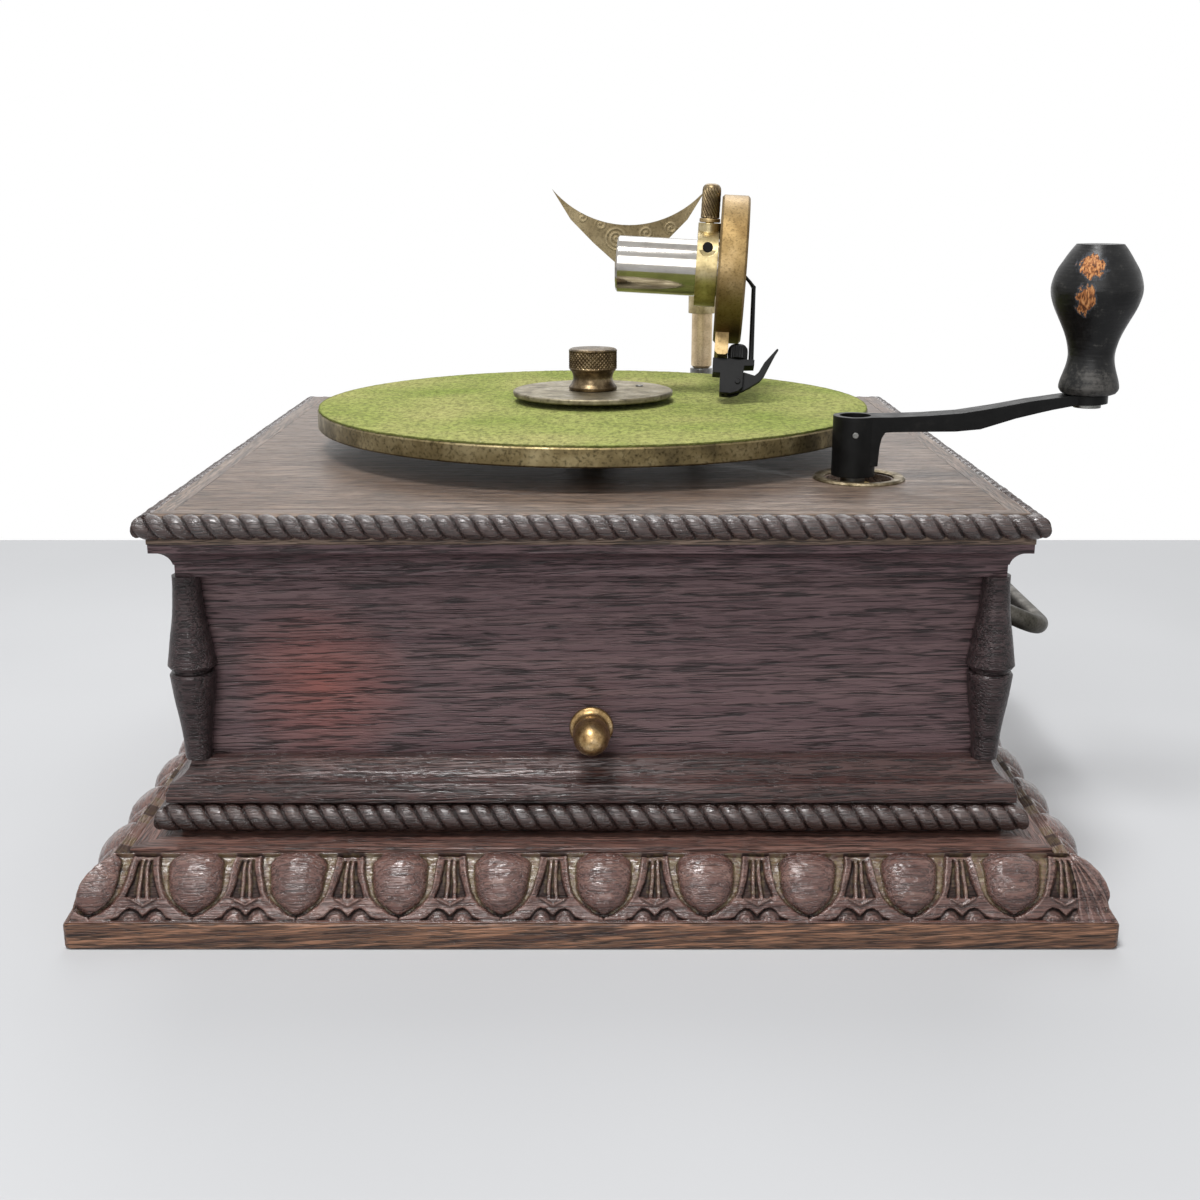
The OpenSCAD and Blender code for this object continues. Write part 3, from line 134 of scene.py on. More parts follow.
def remap(owner, value, low, high, first=0.0, last=1.0):
    """Moves a value from the range between low and high to the one between first and last."""
    return add(owner, "MapRange", {"Value": value, "From Min": low, "From Max": high, "To Min": first,
        "To Max": last})


def ramp(owner, value, *stops):
    """The colour, or grey where a stop is a number, that belongs to a value."""
    return add(owner, "ValToRGB", {"Fac": value}, stops=stops)


def mix(owner, factor, under, over, blend="MIX"):
    """Lays one colour over another."""
    over = hex_colour(over) if isinstance(over, str) else over
    return add(owner, "Mix", {"Factor": factor, "A": under, "B": over}, data_type="RGBA", blend_type=blend)


def noise_over(owner, place, detail, roughness=0.5, distortion=0.0):
    """Noise laid over the coordinates given."""
    return add(owner, "TexNoise", {"Vector": place, "Scale": 1, "Detail": detail, "Roughness": roughness,
        "Distortion": distortion})


def at_scale(owner, size_mm, stretch=(1, 1, 1)):
    """Object coordinates at which one unit is that many millimetres, more along a stretched axis."""
    place = add(owner, "TexCoord", out="Object")
    scale = [1 / (size_mm * MM * s) for s in stretch]
    return add(owner, "Mapping", {"Vector": place, "Scale": scale})


def mottle(owner, size_mm, detail, roughness=0.5, stretch=(1, 1, 1), distortion=0.0):
    """Noise in spots of that many millimetres."""
    return noise_over(owner, at_scale(owner, size_mm, stretch), detail, roughness, distortion)


def height_of(owner):
    """How high each point lies."""
    return add(owner, "SeparateXYZ", {"Vector": add(owner, "TexCoord", out="Object")}, out="Z")


def relief(owner, height, depth_mm, strength, edge_mm=0.0):
    """A bumped normal, with edges that look rounded where a radius is given."""
    inputs = {"Height": height, "Distance": depth_mm * MM, "Strength": strength}
    if edge_mm:
        inputs["Normal"] = add(owner, "Bevel", {"Radius": edge_mm * MM}, samples=4)
    return add(owner, "Bump", inputs)


# A chip ends where chip() gives about this value, by which its ragged noise is weighed too
CHIP_EDGE = 1.6


def chip(owner, ragged, place_mm, size_mm):
    """How far a point lies from a chip's middle in the chip's own size, with its ragged edge added."""
    spot = add(owner, "TexCoord", out="Object")
    spot = calc_vector(owner, "SUBTRACT", spot, [v * MM for v in place_mm])
    spot = calc_vector(owner, "DIVIDE", spot, [v * MM for v in size_mm])
    away = calc_vector(owner, "LENGTH", spot, out="Value")
    return calc(owner, "MULTIPLY_ADD", ragged, CHIP_EDGE, away)


def new_finish(name):
    """An empty material."""
    material = bpy.data.materials.new(name)
    material.use_nodes = True
    material.node_tree.nodes.clear()
    return material


def close(material, inputs):
    """Ends a material with the Principled shader."""
    add(material, "OutputMaterial", {"Surface": add(material, "BsdfPrincipled", inputs)})
    return material


# Oak

# Where the stain has turned red on the front panel, and the top board's two cracks
REDDER = (-104, -PANEL, 88)
FIRST_CRACK = (-120, -91, TOP_Z)
SECOND_CRACK = (-91, -123, TOP_Z)
# How far the sawn grain runs off the board's length, and how much further on the worn edge
GRAIN_SLANT = math.radians(1.3)
WORN_SLANT = math.radians(4)
# The worn edge's streaks: millimetres along and across one
WORN_STREAK = (1 / 0.022, 1 / 0.7)
# The lower edge is worn where its height, with this much ragged noise on it, is under the second value
WORN_RAGGED = 4
WORN_BELOW = 13


def board_place(m, mitred):
    """Object coordinates with X along the grain, also on the side lengths of a mitred frame."""
    place = add(m, "TexCoord", out="Object")
    if mitred:
        x, y, z = [add(m, "SeparateXYZ", {"Vector": place}, out=axis) for axis in "XYZ"]
        turned_round = add(m, "CombineXYZ", {"X": y, "Y": x, "Z": z})
        on_side = calc(m, "GREATER_THAN", calc(m, "ABSOLUTE", x), calc(m, "ABSOLUTE", y))
        place = add(m, "Mix", {"Factor": on_side, "A": place, "B": turned_round}, data_type="VECTOR")
    return add(m, "Mapping", {"Vector": place, "Rotation": (0, GRAIN_SLANT, 0)})


def grain(m, place, along, across, detail, roughness=0.5, distortion=0.0):
    """Noise in streaks that many millimetres long and wide."""
    scale = (1 / (along * MM), 1 / (across * MM), 1 / (across * MM))
    place = add(m, "Mapping", {"Vector": place, "Scale": scale})
    return noise_over(m, place, detail, roughness, distortion)


def growth_lines(m, place, streak):
    """Thin dark lines of the yearly growth, broken here and there: 1 beside them, down to the streak."""
    waves = grain(m, place, 55, 1.9, 2, distortion=0.15)
    off = calc(m, "ABSOLUTE", calc(m, "SUBTRACT", waves, 0.5))
    lines = remap(m, off, 0.02, 0.055, streak - 1, 0.0)
    broken = remap(m, grain(m, place, 14, 1.5, 2), 0.4, 0.5)
    return calc(m, "MULTIPLY_ADD", lines, broken, 1.0)


def worn_foot(m, place, patches, colour, tones):
    """The lower edge, rubbed down to paler wood by tables and dusters."""
    level = calc(m, "MULTIPLY_ADD", patches, WORN_RAGGED * MM, height_of(m))
    foot = remap(m, level, (WORN_BELOW + 0.5) * MM, (WORN_BELOW - 0.5) * MM)
    slanted = add(m, "Mapping", {"Vector": place, "Rotation": (0, WORN_SLANT, 0)})
    bands = grain(m, slanted, *WORN_STREAK, 4, 0.65)
    return mix(m, foot, colour, ramp(m, bands, (0.35, tones[0]), (0.5, tones[1]), (0.62, tones[2])))


def cracks(m, place):
    """1 inside the two cracks along the grain, and 0 outside."""
    ragged = grain(m, place, 5, 3, 2)
    first = chip(m, ragged, FIRST_CRACK, (15, 1.0, 50))
    second = chip(m, ragged, SECOND_CRACK, (21, 1.0, 50))
    return remap(m, calc(m, "MINIMUM", first, second), 1.3, 1.15)


def carving_shade_and_wear(m, colour, rubbed):
    """Painted shade in the concave hollows, crests lightened as rubbed wear and as painted highlight, painted
    shade in the low parts, dust, and that low painted shade by itself.
    """
    crest = add(m, "NewGeometry", out="Pointiness")
    # Painted shade: concave hollows darkened by how sharply the surface curves in
    colour = mix(m, 1.0, colour, ramp(m, crest, (0.44, 0.28), (0.5, 0.85), (0.56, 1.0)), "MULTIPLY")
    # Crests lightened to a pale tone, partly as rubbed wear and partly as painted highlight
    colour = mix(m, remap(m, crest, 0.52, 0.6, last=rubbed), colour, "#a08a80")
    # Painted shade in the low parts of the carving, from the mesh's own attribute
    painted_shade = add(m, "Attribute", attribute_name="painted_shade", out="Fac")
    colour = mix(m, 1.0, colour, remap(m, painted_shade, 0, 1, 1.0, 0.3), "MULTIPLY")
    dust = add(m, "Attribute", attribute_name="dust", out="Fac")
    cover = calc(m, "MULTIPLY", dust, mottle(m, 2.2, 5, 0.6))
    return mix(m, remap(m, cover, 0.32, 0.62, last=0.8), colour, "#766647"), painted_shade


def fumed_oak(name, tones, mitred=True, gloss=0.42, pore=0.2, streak=0.45, worn=None, carved=0.0,
        cracked=False, wax=0.1):
    """Sawn and carved oak, fumed and stained dark, then waxed: long open pores, soft bands, red patches."""
    m = new_finish(name)
    place = board_place(m, mitred)
    bands = grain(m, place, 140, 4, 4, 0.6)
    patches = grain(m, place, 60, 35, 2)
    pores = grain(m, place, 12, 0.62, 2, distortion=0.5)
    fibre = grain(m, place, 7, 0.3, 3)
    colour = ramp(m, bands, (0.3, tones[0]), (0.52, tones[1]), (0.72, tones[2]))
    red = calc(m, "SUBTRACT", chip(m, patches, REDDER, (26, 60, 26)), patches)
    colour = mix(m, remap(m, red, 1.7, 0.2, last=0.8), colour, tones[3])
    if worn:
        colour = worn_foot(m, place, patches, colour, worn)
    dark = ramp(m, pores, (0.5, 1.0), (0.6, pore))
    colour = mix(m, 0.9, colour, dark, "MULTIPLY")
    lines = growth_lines(m, place, streak)
    colour = mix(m, 1.0, colour, lines, "MULTIPLY")
    height = calc(m, "MULTIPLY_ADD", fibre, 0.3, dark)
    height = calc(m, "MULTIPLY_ADD", lines, 0.7, height)
    if cracked:
        split = cracks(m, place)
        colour = mix(m, split, colour, "#1d1310")
        height = calc(m, "SUBTRACT", height, split)
    rough = remap(m, fibre, 0, 1, gloss - 0.1, gloss + 0.16)
    # Carving adds painted shade in its hollows and crests lightened as wear and as painted highlight, by the
    # carved share; the shaded parts are rougher and less waxed
    if carved:
        colour, painted_shade = carving_shade_and_wear(m, colour, carved)
        rough = calc(m, "MULTIPLY_ADD", painted_shade, 0.35, rough)
        wax = remap(m, painted_shade, 0, 1, wax, 0.0)
    normal = relief(m, height, 0.4, 0.7, 0.5)
    return close(m, {"Base Color": colour, "Roughness": rough, "Normal": normal, "Coat Weight": wax,
        "Coat Roughness": 0.1, "Coat Normal": normal, "Specular IOR Level": 0.28})


# Metals

def aged_metal(name, tones, rough, patch_mm, speck_mm, specks, dark_below=None):
    """Cast or turned metal, once polished, now tarnished in patches with fine dark specks.

    One that is dark below is darker towards the bottom: wholly the dark tone up to the first height, in
    millimetres, and its own tones from the second; then comes that dark tone.
    """
    m = new_finish(name)
    patches = mottle(m, patch_mm, 5, 0.6)
    fine = mottle(m, speck_mm, 3)
    colour = ramp(m, patches, (0.32, tones[0]), (0.5, tones[1]), (0.68, tones[2]))
    colour = mix(m, 1.0, colour, ramp(m, fine, (0.5, 1.0), (0.72, 1 - specks)), "MULTIPLY")
    # Darker towards the bottom, with the patches' noise on the border
    if dark_below:
        low, high, bottom_tone = dark_below
        level = calc(m, "MULTIPLY_ADD", patches, 0.02, height_of(m))
        colour = mix(m, remap(m, level, low * MM, high * MM), hex_colour(bottom_tone), colour)
    gloss = remap(m, patches, 0.3, 0.7, rough[1], rough[0])
    return close(m, {"Base Color": colour, "Metallic": 1.0, "Roughness": gloss,
        "Normal": relief(m, fine, 0.04, 0.7, 0.4)})


# Middles of the cradle's scrolls across and up, and how far each one reaches
SCROLLS = ((12.8, 247.1, 7.0), (29.7, 249.8, 4.8), (3.6, 254.6, 3.6), (-6.5, 258.4, 3.0), (43.5, 252.6, 4.0))
# How far one turn of a scroll lies from the next
SCROLL_PITCH = 2.4


def scroll(owner, across, up, reach):
    """A spiral ridge about one middle on the cradle's face, from 0 to 1, fading out at its reach."""
    place = add(owner, "TexCoord", out="Object")
    place = calc_vector(owner, "SUBTRACT", place, (across * MM, 0, up * MM))
    place = add(owner, "Mapping", {"Vector": place, "Rotation": (math.radians(90), 0, 0)})
    place = calc_vector(owner, "MULTIPLY", place, (1, 1, 0))
    turn = add(owner, "TexGradient", {"Vector": place}, out="Fac", gradient_type="RADIAL")
    away = calc_vector(owner, "LENGTH", place, out="Value")
    wound = calc(owner, "MULTIPLY_ADD", away, 1 / (SCROLL_PITCH * MM), turn)
    ends = remap(owner, away, reach * MM, (reach - 0.6) * MM, last=2.0)
    return calc(owner, "MULTIPLY", calc(owner, "PINGPONG", wound, 0.5), ends)


def scrolled_metal(name, tones, rough, patch_mm, speck_mm, specks):
    """Cast white metal with shallow scrolls on its face, rubbed lighter where they stand up."""
    m = aged_metal(name, tones, rough, patch_mm, speck_mm, specks)
    shader = next(n for n in m.node_tree.nodes if n.type == "BSDF_PRINCIPLED")
    colour = shader.inputs["Base Color"].links[0].from_socket
    ridge = scroll(m, *SCROLLS[0])
    for place in SCROLLS[1:]:
        ridge = calc(m, "MAXIMUM", ridge, scroll(m, *place))
    colour = mix(m, remap(m, ridge, 0.4, 0.95, last=0.4), colour, "#a5977a")
    m.node_tree.links.new(colour, shader.inputs["Base Color"])
    m.node_tree.links.new(relief(m, ridge, 0.2, 0.35), shader.inputs["Normal"])
    return m


def nickel_plate():
    """Nickel plate on brass, buffed bright along the tube: mirror-like with faint long scratches."""
    m = new_finish("nickel_plate")
    haze = mottle(m, 9, 4)
    hairs = mottle(m, 0.25, 2, stretch=(60, 1, 1))
    colour = ramp(m, haze, (0.3, "#938e88"), (0.5, "#a5a19b"), (0.75, "#b0ada8"))
    return close(m, {"Base Color": colour, "Metallic": 1.0, "Roughness": remap(m, haze, 0.3, 0.7, 0.17, 0.08),
        "Normal": relief(m, hairs, 0.01, 0.4)})


def black_japan():
    """Iron under baked black japan: deep black, half gloss, with fine dust and rubbed grey high spots."""
    m = new_finish("black_japan")
    dust = mottle(m, 6, 6, 0.65)
    orange_peel = mottle(m, 0.9, 2)
    colour = ramp(m, dust, (0.4, "#070707"), (0.6, "#0c0c0c"), (0.8, "#1f1e1d"))
    return close(m, {"Base Color": colour, "Roughness": remap(m, dust, 0.3, 0.7, 0.3, 0.55),
        "Normal": relief(m, orange_peel, 0.04, 0.5, 0.5), "Specular IOR Level": 0.16})


# Other stuffs

# Middles of the two chips in the knob's enamel
UPPER_CHIP = (KNOB_MID[0] - 6.7, KNOB_MID[1] - 12.9, KNOB_TOP - 8.1)
LOWER_CHIP = (KNOB_MID[0] - 8.7, KNOB_MID[1] - 14.8, KNOB_TOP - 20.9)
# The knob's enamel is sound down to the first of these distances from its top, and scuffed from the second
SCUFFED = (44, 52)


def painted_knob():
    """Turned beech under black enamel: half glossy, scuffed grey below, chipped twice down to orange wood."""
    m = new_finish("enamelled_beech")
    dust = mottle(m, 5, 7, 0.75)
    rings = mottle(m, 1.1, 4, stretch=(9, 9, 1))
    ragged = mottle(m, 2.2, 5, 0.65, (1, 1, 1.8))
    fibre = mottle(m, 0.7, 3, stretch=(1, 1, 6))
    upper = chip(m, ragged, UPPER_CHIP, (5.3, 9, 5.4))
    lower = chip(m, ragged, LOWER_CHIP, (3.6, 9, 6.8))
    away = calc(m, "MINIMUM", upper, lower)
    bare = remap(m, away, CHIP_EDGE + 0.06, CHIP_EDGE - 0.02)
    lip = remap(m, away, CHIP_EDGE + 0.26, CHIP_EDGE + 0.06, last=0.35)
    low = remap(m, height_of(m), *[(KNOB_TOP - down) * MM for down in SCUFFED], last=0.16)
    scuff = calc(m, "MULTIPLY_ADD", rings, 0.25, calc(m, "ADD", dust, low))
    paint = ramp(m, scuff, (0.6, "#0b0b0c"), (0.72, "#151515"), (0.9, "#4a4845"))
    paint = mix(m, lip, paint, "#59606a")
    wood = ramp(m, fibre, (0.36, "#4a2a17"), (0.5, "#a3683c"), (0.66, "#c9935f"))
    colour = mix(m, bare, paint, wood)
    rough = calc(m, "MULTIPLY_ADD", bare, 0.3, remap(m, scuff, 0.5, 0.85, 0.28, 0.55))
    depth = calc(m, "MULTIPLY", calc(m, "MULTIPLY_ADD", fibre, 0.3, bare), bare)
    height = calc(m, "MULTIPLY_ADD", depth, -1.0, rings)
    return close(m, {"Base Color": colour, "Roughness": rough, "Normal": relief(m, height, 0.3, 0.5),
        "Specular IOR Level": 0.26})


def wool_felt():
    """Pressed wool felt, dyed green and faded yellow by light, matted, linty and frayed dark at its rim."""
    m = new_finish("wool_felt")
    fade = mottle(m, 45, 3)
    nap = mottle(m, 1.5, 5, 0.75, (1.2, 2.5, 1))
    fibres = mottle(m, 1.1, 4, stretch=(4, 1, 1), distortion=1.5)
    colour = ramp(m, fade, (0.3, "#8b9b4b"), (0.5, "#9fa65e"), (0.7, "#b0ae6e"))
    colour = mix(m, 1.0, colour, ramp(m, nap, (0.36, 0.45), (0.5, 0.85), (0.58, 1.08)), "MULTIPLY")
    lint = add(m, "TexVoronoi", {"Vector": at_scale(m, 7), "Scale": 1, "Randomness": 1.0}, out="Distance")
    colour = mix(m, remap(m, lint, 0.05, 0.035), colour, "#d3cf9c")
    colour = mix(m, 1.0, colour, ramp(m, fibres, (0.36, 0.72), (0.52, 1.0), (0.66, 1.16)), "MULTIPLY")
    fray = add(m, "Attribute", attribute_name="fray", out="Fac")
    torn = calc(m, "MULTIPLY", fray, fibres)
    colour = mix(m, remap(m, torn, 0.3, 0.55, last=0.8), colour, "#4c5320")
    height = calc(m, "MULTIPLY_ADD", fibres, 0.6, nap)
    return close(m, {"Base Color": colour, "Roughness": 0.95, "Normal": relief(m, height, 1.1, 0.9),
        "Sheen Weight": 0.2, "Sheen Roughness": 0.5, "Sheen Tint": hex_colour("#cfd08c"),
        "Specular IOR Level": 0.15})


def mica():
    """A split sheet of mica, clear with a faint yellow cast."""
    m = new_finish("mica")
    colour = ramp(m, mottle(m, 12, 3), (0.4, "#cfc49d"), (0.7, "#e4dcc0"))
    return close(m, {"Base Color": colour, "Roughness": 0.12, "Transmission Weight": 0.6, "IOR": 1.56})


def plain_stuff(name, tones, rough, grain_mm, depth_mm):
    """Rubber, leather or bare softwood: matt, with its own fine mottle."""
    m = new_finish(name)
    spots = mottle(m, grain_mm, 5)
    colour = ramp(m, spots, (0.35, tones[0]), (0.65, tones[1]))
    return close(m, {"Base Color": colour, "Roughness": rough, "Normal": relief(m, spots, depth_mm, 0.6)})


# The finishes and what each is on

TOP = ("#564339", "#766355", "#8f7d6f", "#7a5a4e")
carved_oak = fumed_oak("carved_fumed_oak", ("#50342e", "#704f47", "#8c6b60", "#843d2f"), gloss=0.22, pore=0.5,
    streak=0.6, carved=0.45, wax=0.7)
plank_oak = fumed_oak("worn_fumed_oak", ("#523833", "#6e4f46", "#866459", "#8c4a36"), gloss=0.34,
    worn=("#46302a", "#72523f", "#9d735a"))
panel_oak = fumed_oak("fumed_oak_panel", ("#564144", "#634e50", "#705a5a", "#905349"), gloss=0.45, pore=0.55,
    streak=0.22)
frieze_oak = fumed_oak("fumed_oak_frieze", ("#423033", "#5c474a", "#725d5e", "#613d3f"), gloss=0.38)
moulding_oak = fumed_oak("fumed_oak_moulding", ("#382422", "#4c3532", "#5f4741", "#5a342d"), gloss=0.28,
    wax=0.35)
spindle_oak = fumed_oak("fumed_oak_spindle", ("#281c1d", "#3a2c2d", "#4b3d3d", "#452a29"), mitred=False,
    gloss=0.3)
top_oak = fumed_oak("worn_oak_top", TOP, mitred=False, gloss=0.34, streak=0.6, cracked=True)
border_oak = fumed_oak("worn_oak_border", TOP, gloss=0.34, streak=0.6)
rope_oak = fumed_oak("worn_oak_rope", ("#291a18", "#3b2926", "#4f3a34", "#502b22"), gloss=0.2, pore=0.5,
    streak=0.7, carved=0.08, wax=0.9)
# The sound box case is darker towards the bottom
speckled_brass = aged_metal("speckled_brass", ("#675334", "#86704b", "#a08a65"), (0.4, 0.55), 22, 0.9, 0.45,
    dark_below=(192, 256, "#453419"))
olive_brass = aged_metal("olive_brass", ("#7d7152", "#a3946d", "#c4b692"), (0.28, 0.45), 12, 1.2, 0.25)
pale_brass = aged_metal("pale_brass", ("#7a6746", "#9b855e", "#b39d74"), (0.35, 0.5), 8, 0.8, 0.35)
sleeve_brass = aged_metal("tan_brass", ("#b09a76", "#cdb793", "#e0cdab"), (0.3, 0.45), 18, 0.9, 0.3)
dark_brass = aged_metal("dark_knurled_brass", ("#3c3122", "#5f4f37", "#86704d"), (0.32, 0.55), 5, 0.6, 0.5)
nut_brass = aged_metal("knurled_nut_brass", ("#3d3225", "#5e503c", "#7f6f56"), (0.25, 0.45), 5, 0.6, 0.4)
screw_brass = aged_metal("knurled_screw_brass", ("#4d4030", "#6f6048", "#8f7e60"), (0.3, 0.5), 5, 0.6, 0.4)
rim_metal = aged_metal("speckled_rim_metal", ("#4f4632", "#736648", "#978a68"), (0.35, 0.55), 18, 1.4, 0.65)
plate_zinc = aged_metal("dull_zinc_plate", ("#5f5747", "#7f7762", "#989080"), (0.4, 0.55), 9, 1.6, 0.5)
cradle_metal = scrolled_metal("worn_nickel", ("#61553e", "#7a6d53", "#94876a"), (0.25, 0.42), 20, 1.2, 0.4)
dirty_brass = aged_metal("dirty_brass", ("#4a4130", "#786c55", "#9c907a"), (0.35, 0.6), 4, 0.7, 0.5)
handle_metal = aged_metal("grey_green_plate", ("#38362f", "#524f49", "#6c6862"), (0.35, 0.55), 10, 0.9, 0.4)
bright_steel = aged_metal("oiled_steel", ("#5c5c5a", "#7f7f7c", "#9a9a96"), (0.25, 0.4), 10, 0.6, 0.3)
motor_brass = aged_metal("machined_brass", ("#8a6c33", "#b08f4c", "#c9a963"), (0.25, 0.4), 16, 0.6, 0.2)
knob_brass = aged_metal("brake_brass", ("#72593a", "#ad9064", "#d0b68e"), (0.25, 0.45), 5, 0.7, 0.45)
nickel = nickel_plate()
japan = black_japan()
enamel = painted_knob()
felt = wool_felt()
clear_mica = mica()
rubber = plain_stuff("red_rubber", ("#4a221b", "#6a352a"), 0.7, 2.5, 0.1)
leather = plain_stuff("dressed_leather", ("#4f3420", "#6f4b2f"), 0.75, 1.2, 0.2)
softwood = plain_stuff("bare_softwood", ("#5b4331", "#77593f"), 0.8, 9, 0.2)

FINISHES = {
    panel_oak: ["front_panel", "rear_panel", "left_panel", "right_panel"],
    frieze_oak: ["upper_moulding"],
    moulding_oak: ["lower_moulding"],
    spindle_oak: ["corner_spindles"],
    carved_oak: ["base_moulding"],
    top_oak: ["top_board"],
    softwood: ["bottom_board"],
    olive_brass: ["clamp_ring", "travelling_arm"],
    speckled_brass: ["sound_box_case"],
    pale_brass: ["pivot_block"],
    sleeve_brass: ["arm_sleeve"],
    dirty_brass: ["crank_escutcheon"],
    dark_brass: ["turntable_nut", "clamp_screw", "support_bracket"],
    rim_metal: ["platter"],
    plate_zinc: ["centre_plate"],
    cradle_metal: ["horn_cradle"],
    handle_metal: ["handle_posts", "left_handle", "right_handle"],
    bright_steel: ["pivot_post", "brake_rod", "crank_pins", "winding_shaft", "barrel_arbor", "middle_arbor",
        "spindle", "governor_shaft", "motor_pillars", "winding_click", "plate_pin", "mainspring",
        "case_screws"],
    motor_brass: ["motor_top_plate", "motor_bottom_plate", "winding_wheel", "spring_barrel", "great_wheel",
        "middle_wheel", "spindle_wheel", "governor_disc", "governor_weights"],
    knob_brass: ["brake_knob"],
    nickel: ["horn_tube"],
    japan: ["crank_arm", "pivot_knurl", "stylus_bar", "needle_holder", "holder_lever", "ring_screw"],
    enamel: ["crank_knob"],
    felt: ["turntable_felt"],
    clear_mica: ["diaphragm"],
    rubber: ["diaphragm_gaskets"],
    leather: ["brake_pad"],
}


def finish_solids():
    """Gives every solid of the frame its real finish."""
    for finish, names in FINISHES.items():
        for name in names:
            for slot in nodes[name].material_slots:
                slot.material = finish


# Tools of the workshop

def mode(name):
    """Changes to edit or object mode."""
    bpy.ops.object.mode_set(mode=name)


def settle():
    """Puts a piece's place, turn and scale into its mesh."""
    bpy.ops.object.transform_apply(location=True, rotation=True, scale=True)


def start(primitive, **settings):
    """Adds a primitive on its own and opens it in edit mode."""
    bpy.ops.object.select_all(action="DESELECT")
    primitive(**settings)
    mode("EDIT")


def done(name, finish):
    """Leaves edit mode with the piece's place in its mesh, and gives it its name and finish."""
    if bpy.context.object.mode == "EDIT":
        mode("OBJECT")
    piece = bpy.context.object
    settle()
    piece.name = name
    piece.data.name = name
    piece.data.materials.clear()
    piece.data.materials.append(finish)
    return piece


def select_open():
    """Selects only the edges that no face or a single one uses."""
    bpy.ops.mesh.select_all(action="DESELECT")
    bpy.ops.mesh.select_non_manifold()


def face_outwards():
    """Turns every face's front to the outside."""
    bpy.ops.mesh.select_all(action="SELECT")
    bpy.ops.mesh.normals_make_consistent(inside=False)


def shade_smooth(angle):
    """Shades the piece in hand smooth, but for edges sharper than that many degrees."""
    bpy.ops.object.shade_smooth_by_angle(angle=math.radians(angle))


def alter(piece, kind, **settings):
    """Applies one modifier to a piece and leaves the piece in hand."""
    bpy.ops.object.select_all(action="DESELECT")
    piece.select_set(True)
    bpy.context.view_layer.objects.active = piece
    change = piece.modifiers.new(kind.lower(), kind)
    for name, value in settings.items():
        setattr(change, name, value)
    bpy.ops.object.modifier_apply(modifier=change.name)


def cut_away(piece, tool):
    """Cuts the tool's shape out of a piece and removes the tool."""
    alter(piece, "BOOLEAN", operation="DIFFERENCE", solver="EXACT", object=tool)
    bpy.data.objects.remove(tool)


def extrude_ring(rise, grow, centre):
    """Draws the selected ring of edges up and then wider or narrower about its axis."""
    bpy.ops.mesh.extrude_edges_move(TRANSFORM_OT_translate={"value": (0, 0, rise)})
    bpy.ops.transform.resize(value=(grow, grow, 1), center_override=centre)


def turned(profile, sides, corner=1.0, ring=False, turn=0.0):
    """A round or square piece, or a hollow ring, from its profile of (radius, height) in millimetres."""
    radius, height = profile[0]
    start(bpy.ops.mesh.primitive_circle_add, vertices=sides, radius=radius * corner * MM,
        location=(0, 0, height * MM), rotation=(0, 0, turn))
    mode("OBJECT")
    settle()
    mode("EDIT")
    for r, z in profile[1:]:
        extrude_ring((z - height) * MM, r / radius, (0, 0, z * MM))
        radius, height = r, z
    if ring:
        select_open()
        bpy.ops.mesh.bridge_edge_loops()
    else:
        bpy.ops.mesh.edge_face_add()
        select_open()
        bpy.ops.mesh.edge_face_add()
    face_outwards()


def moulded(section, ring=False):
    """A mitred frame from its section of (distance from the middle, height) in millimetres."""
    turned(section, 4, corner=math.sqrt(2), ring=ring, turn=math.radians(45))


def round_corners(reach, radius):
    """Rounds the upright edges of an open frame's four outer corners, as knocks and wear have."""
    bpy.ops.mesh.select_mode(type="EDGE")
    bpy.ops.mesh.select_all(action="DESELECT")
    mode("OBJECT")
    mesh = bpy.context.object.data
    for edge in mesh.edges:
        ends = [mesh.vertices[i].co / MM for i in edge.vertices]
        upright = math.hypot(ends[0].x - ends[1].x, ends[0].y - ends[1].y) < 3
        edge.select = upright and all(min(abs(end.x), abs(end.y)) > reach - 1 for end in ends)
    mode("EDIT")
    bpy.ops.mesh.bevel(offset=radius * MM, segments=4, affect="EDGES")
    bpy.ops.mesh.select_mode(type="VERT")


# Edges sharper than this many degrees are rounded
SOFT_ANGLE = 30


def soften(piece, width_mm):
    """Rounds the sharp edges a little, as sanding or wear does."""
    alter(piece, "BEVEL", width=width_mm * MM, segments=2, limit_method="ANGLE",
        angle_limit=math.radians(SOFT_ANGLE))
    shade_smooth(SOFT_ANGLE)


# The other three sides of the case, and how far round each one lies from the front
SIDES = (("right", 90), ("back", 180), ("left", 270))


def copy_turned(piece, name, degrees):
    """A copy with its own mesh, turned about the case's middle."""
    other = piece.copy()
    other.data = piece.data.copy()
    other.name = name
    other.data.name = name
    other.data.transform(Matrix.Rotation(math.radians(degrees), 4, "Z"))
    bpy.context.scene.collection.objects.link(other)
    return other


def fit(piece, body, slot, *replaced):
    """Puts a finished piece on its body."""
    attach(piece, body)
    if replaced:
        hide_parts(*replaced)


def arc(centre_out, centre_z, radius, first, last, steps):
    """Points of an arc in a moulding's section."""
    angles = [math.radians(first + (last - first) * i / steps) for i in range(steps + 1)]
    return [(centre_out + radius * math.cos(a), centre_z + radius * math.sin(a)) for a in angles]


# The carved base

EGGS = 9
EGG_PITCH = 38.2
OVOLO_R = 24.5
OVOLO_OUT = PANEL + 19.9
OVOLO_Z = 9.9
OVOLO_FROM = math.radians(12.7)
OVOLO_TO = math.radians(62.7)
SLOPE = 5.4
FACE = SLOPE + OVOLO_R * (OVOLO_TO - OVOLO_FROM)
CARVE_DEPTH = 2.4
# The middle egg sits this far right of the case's middle
FIRST_EGG = 4.7
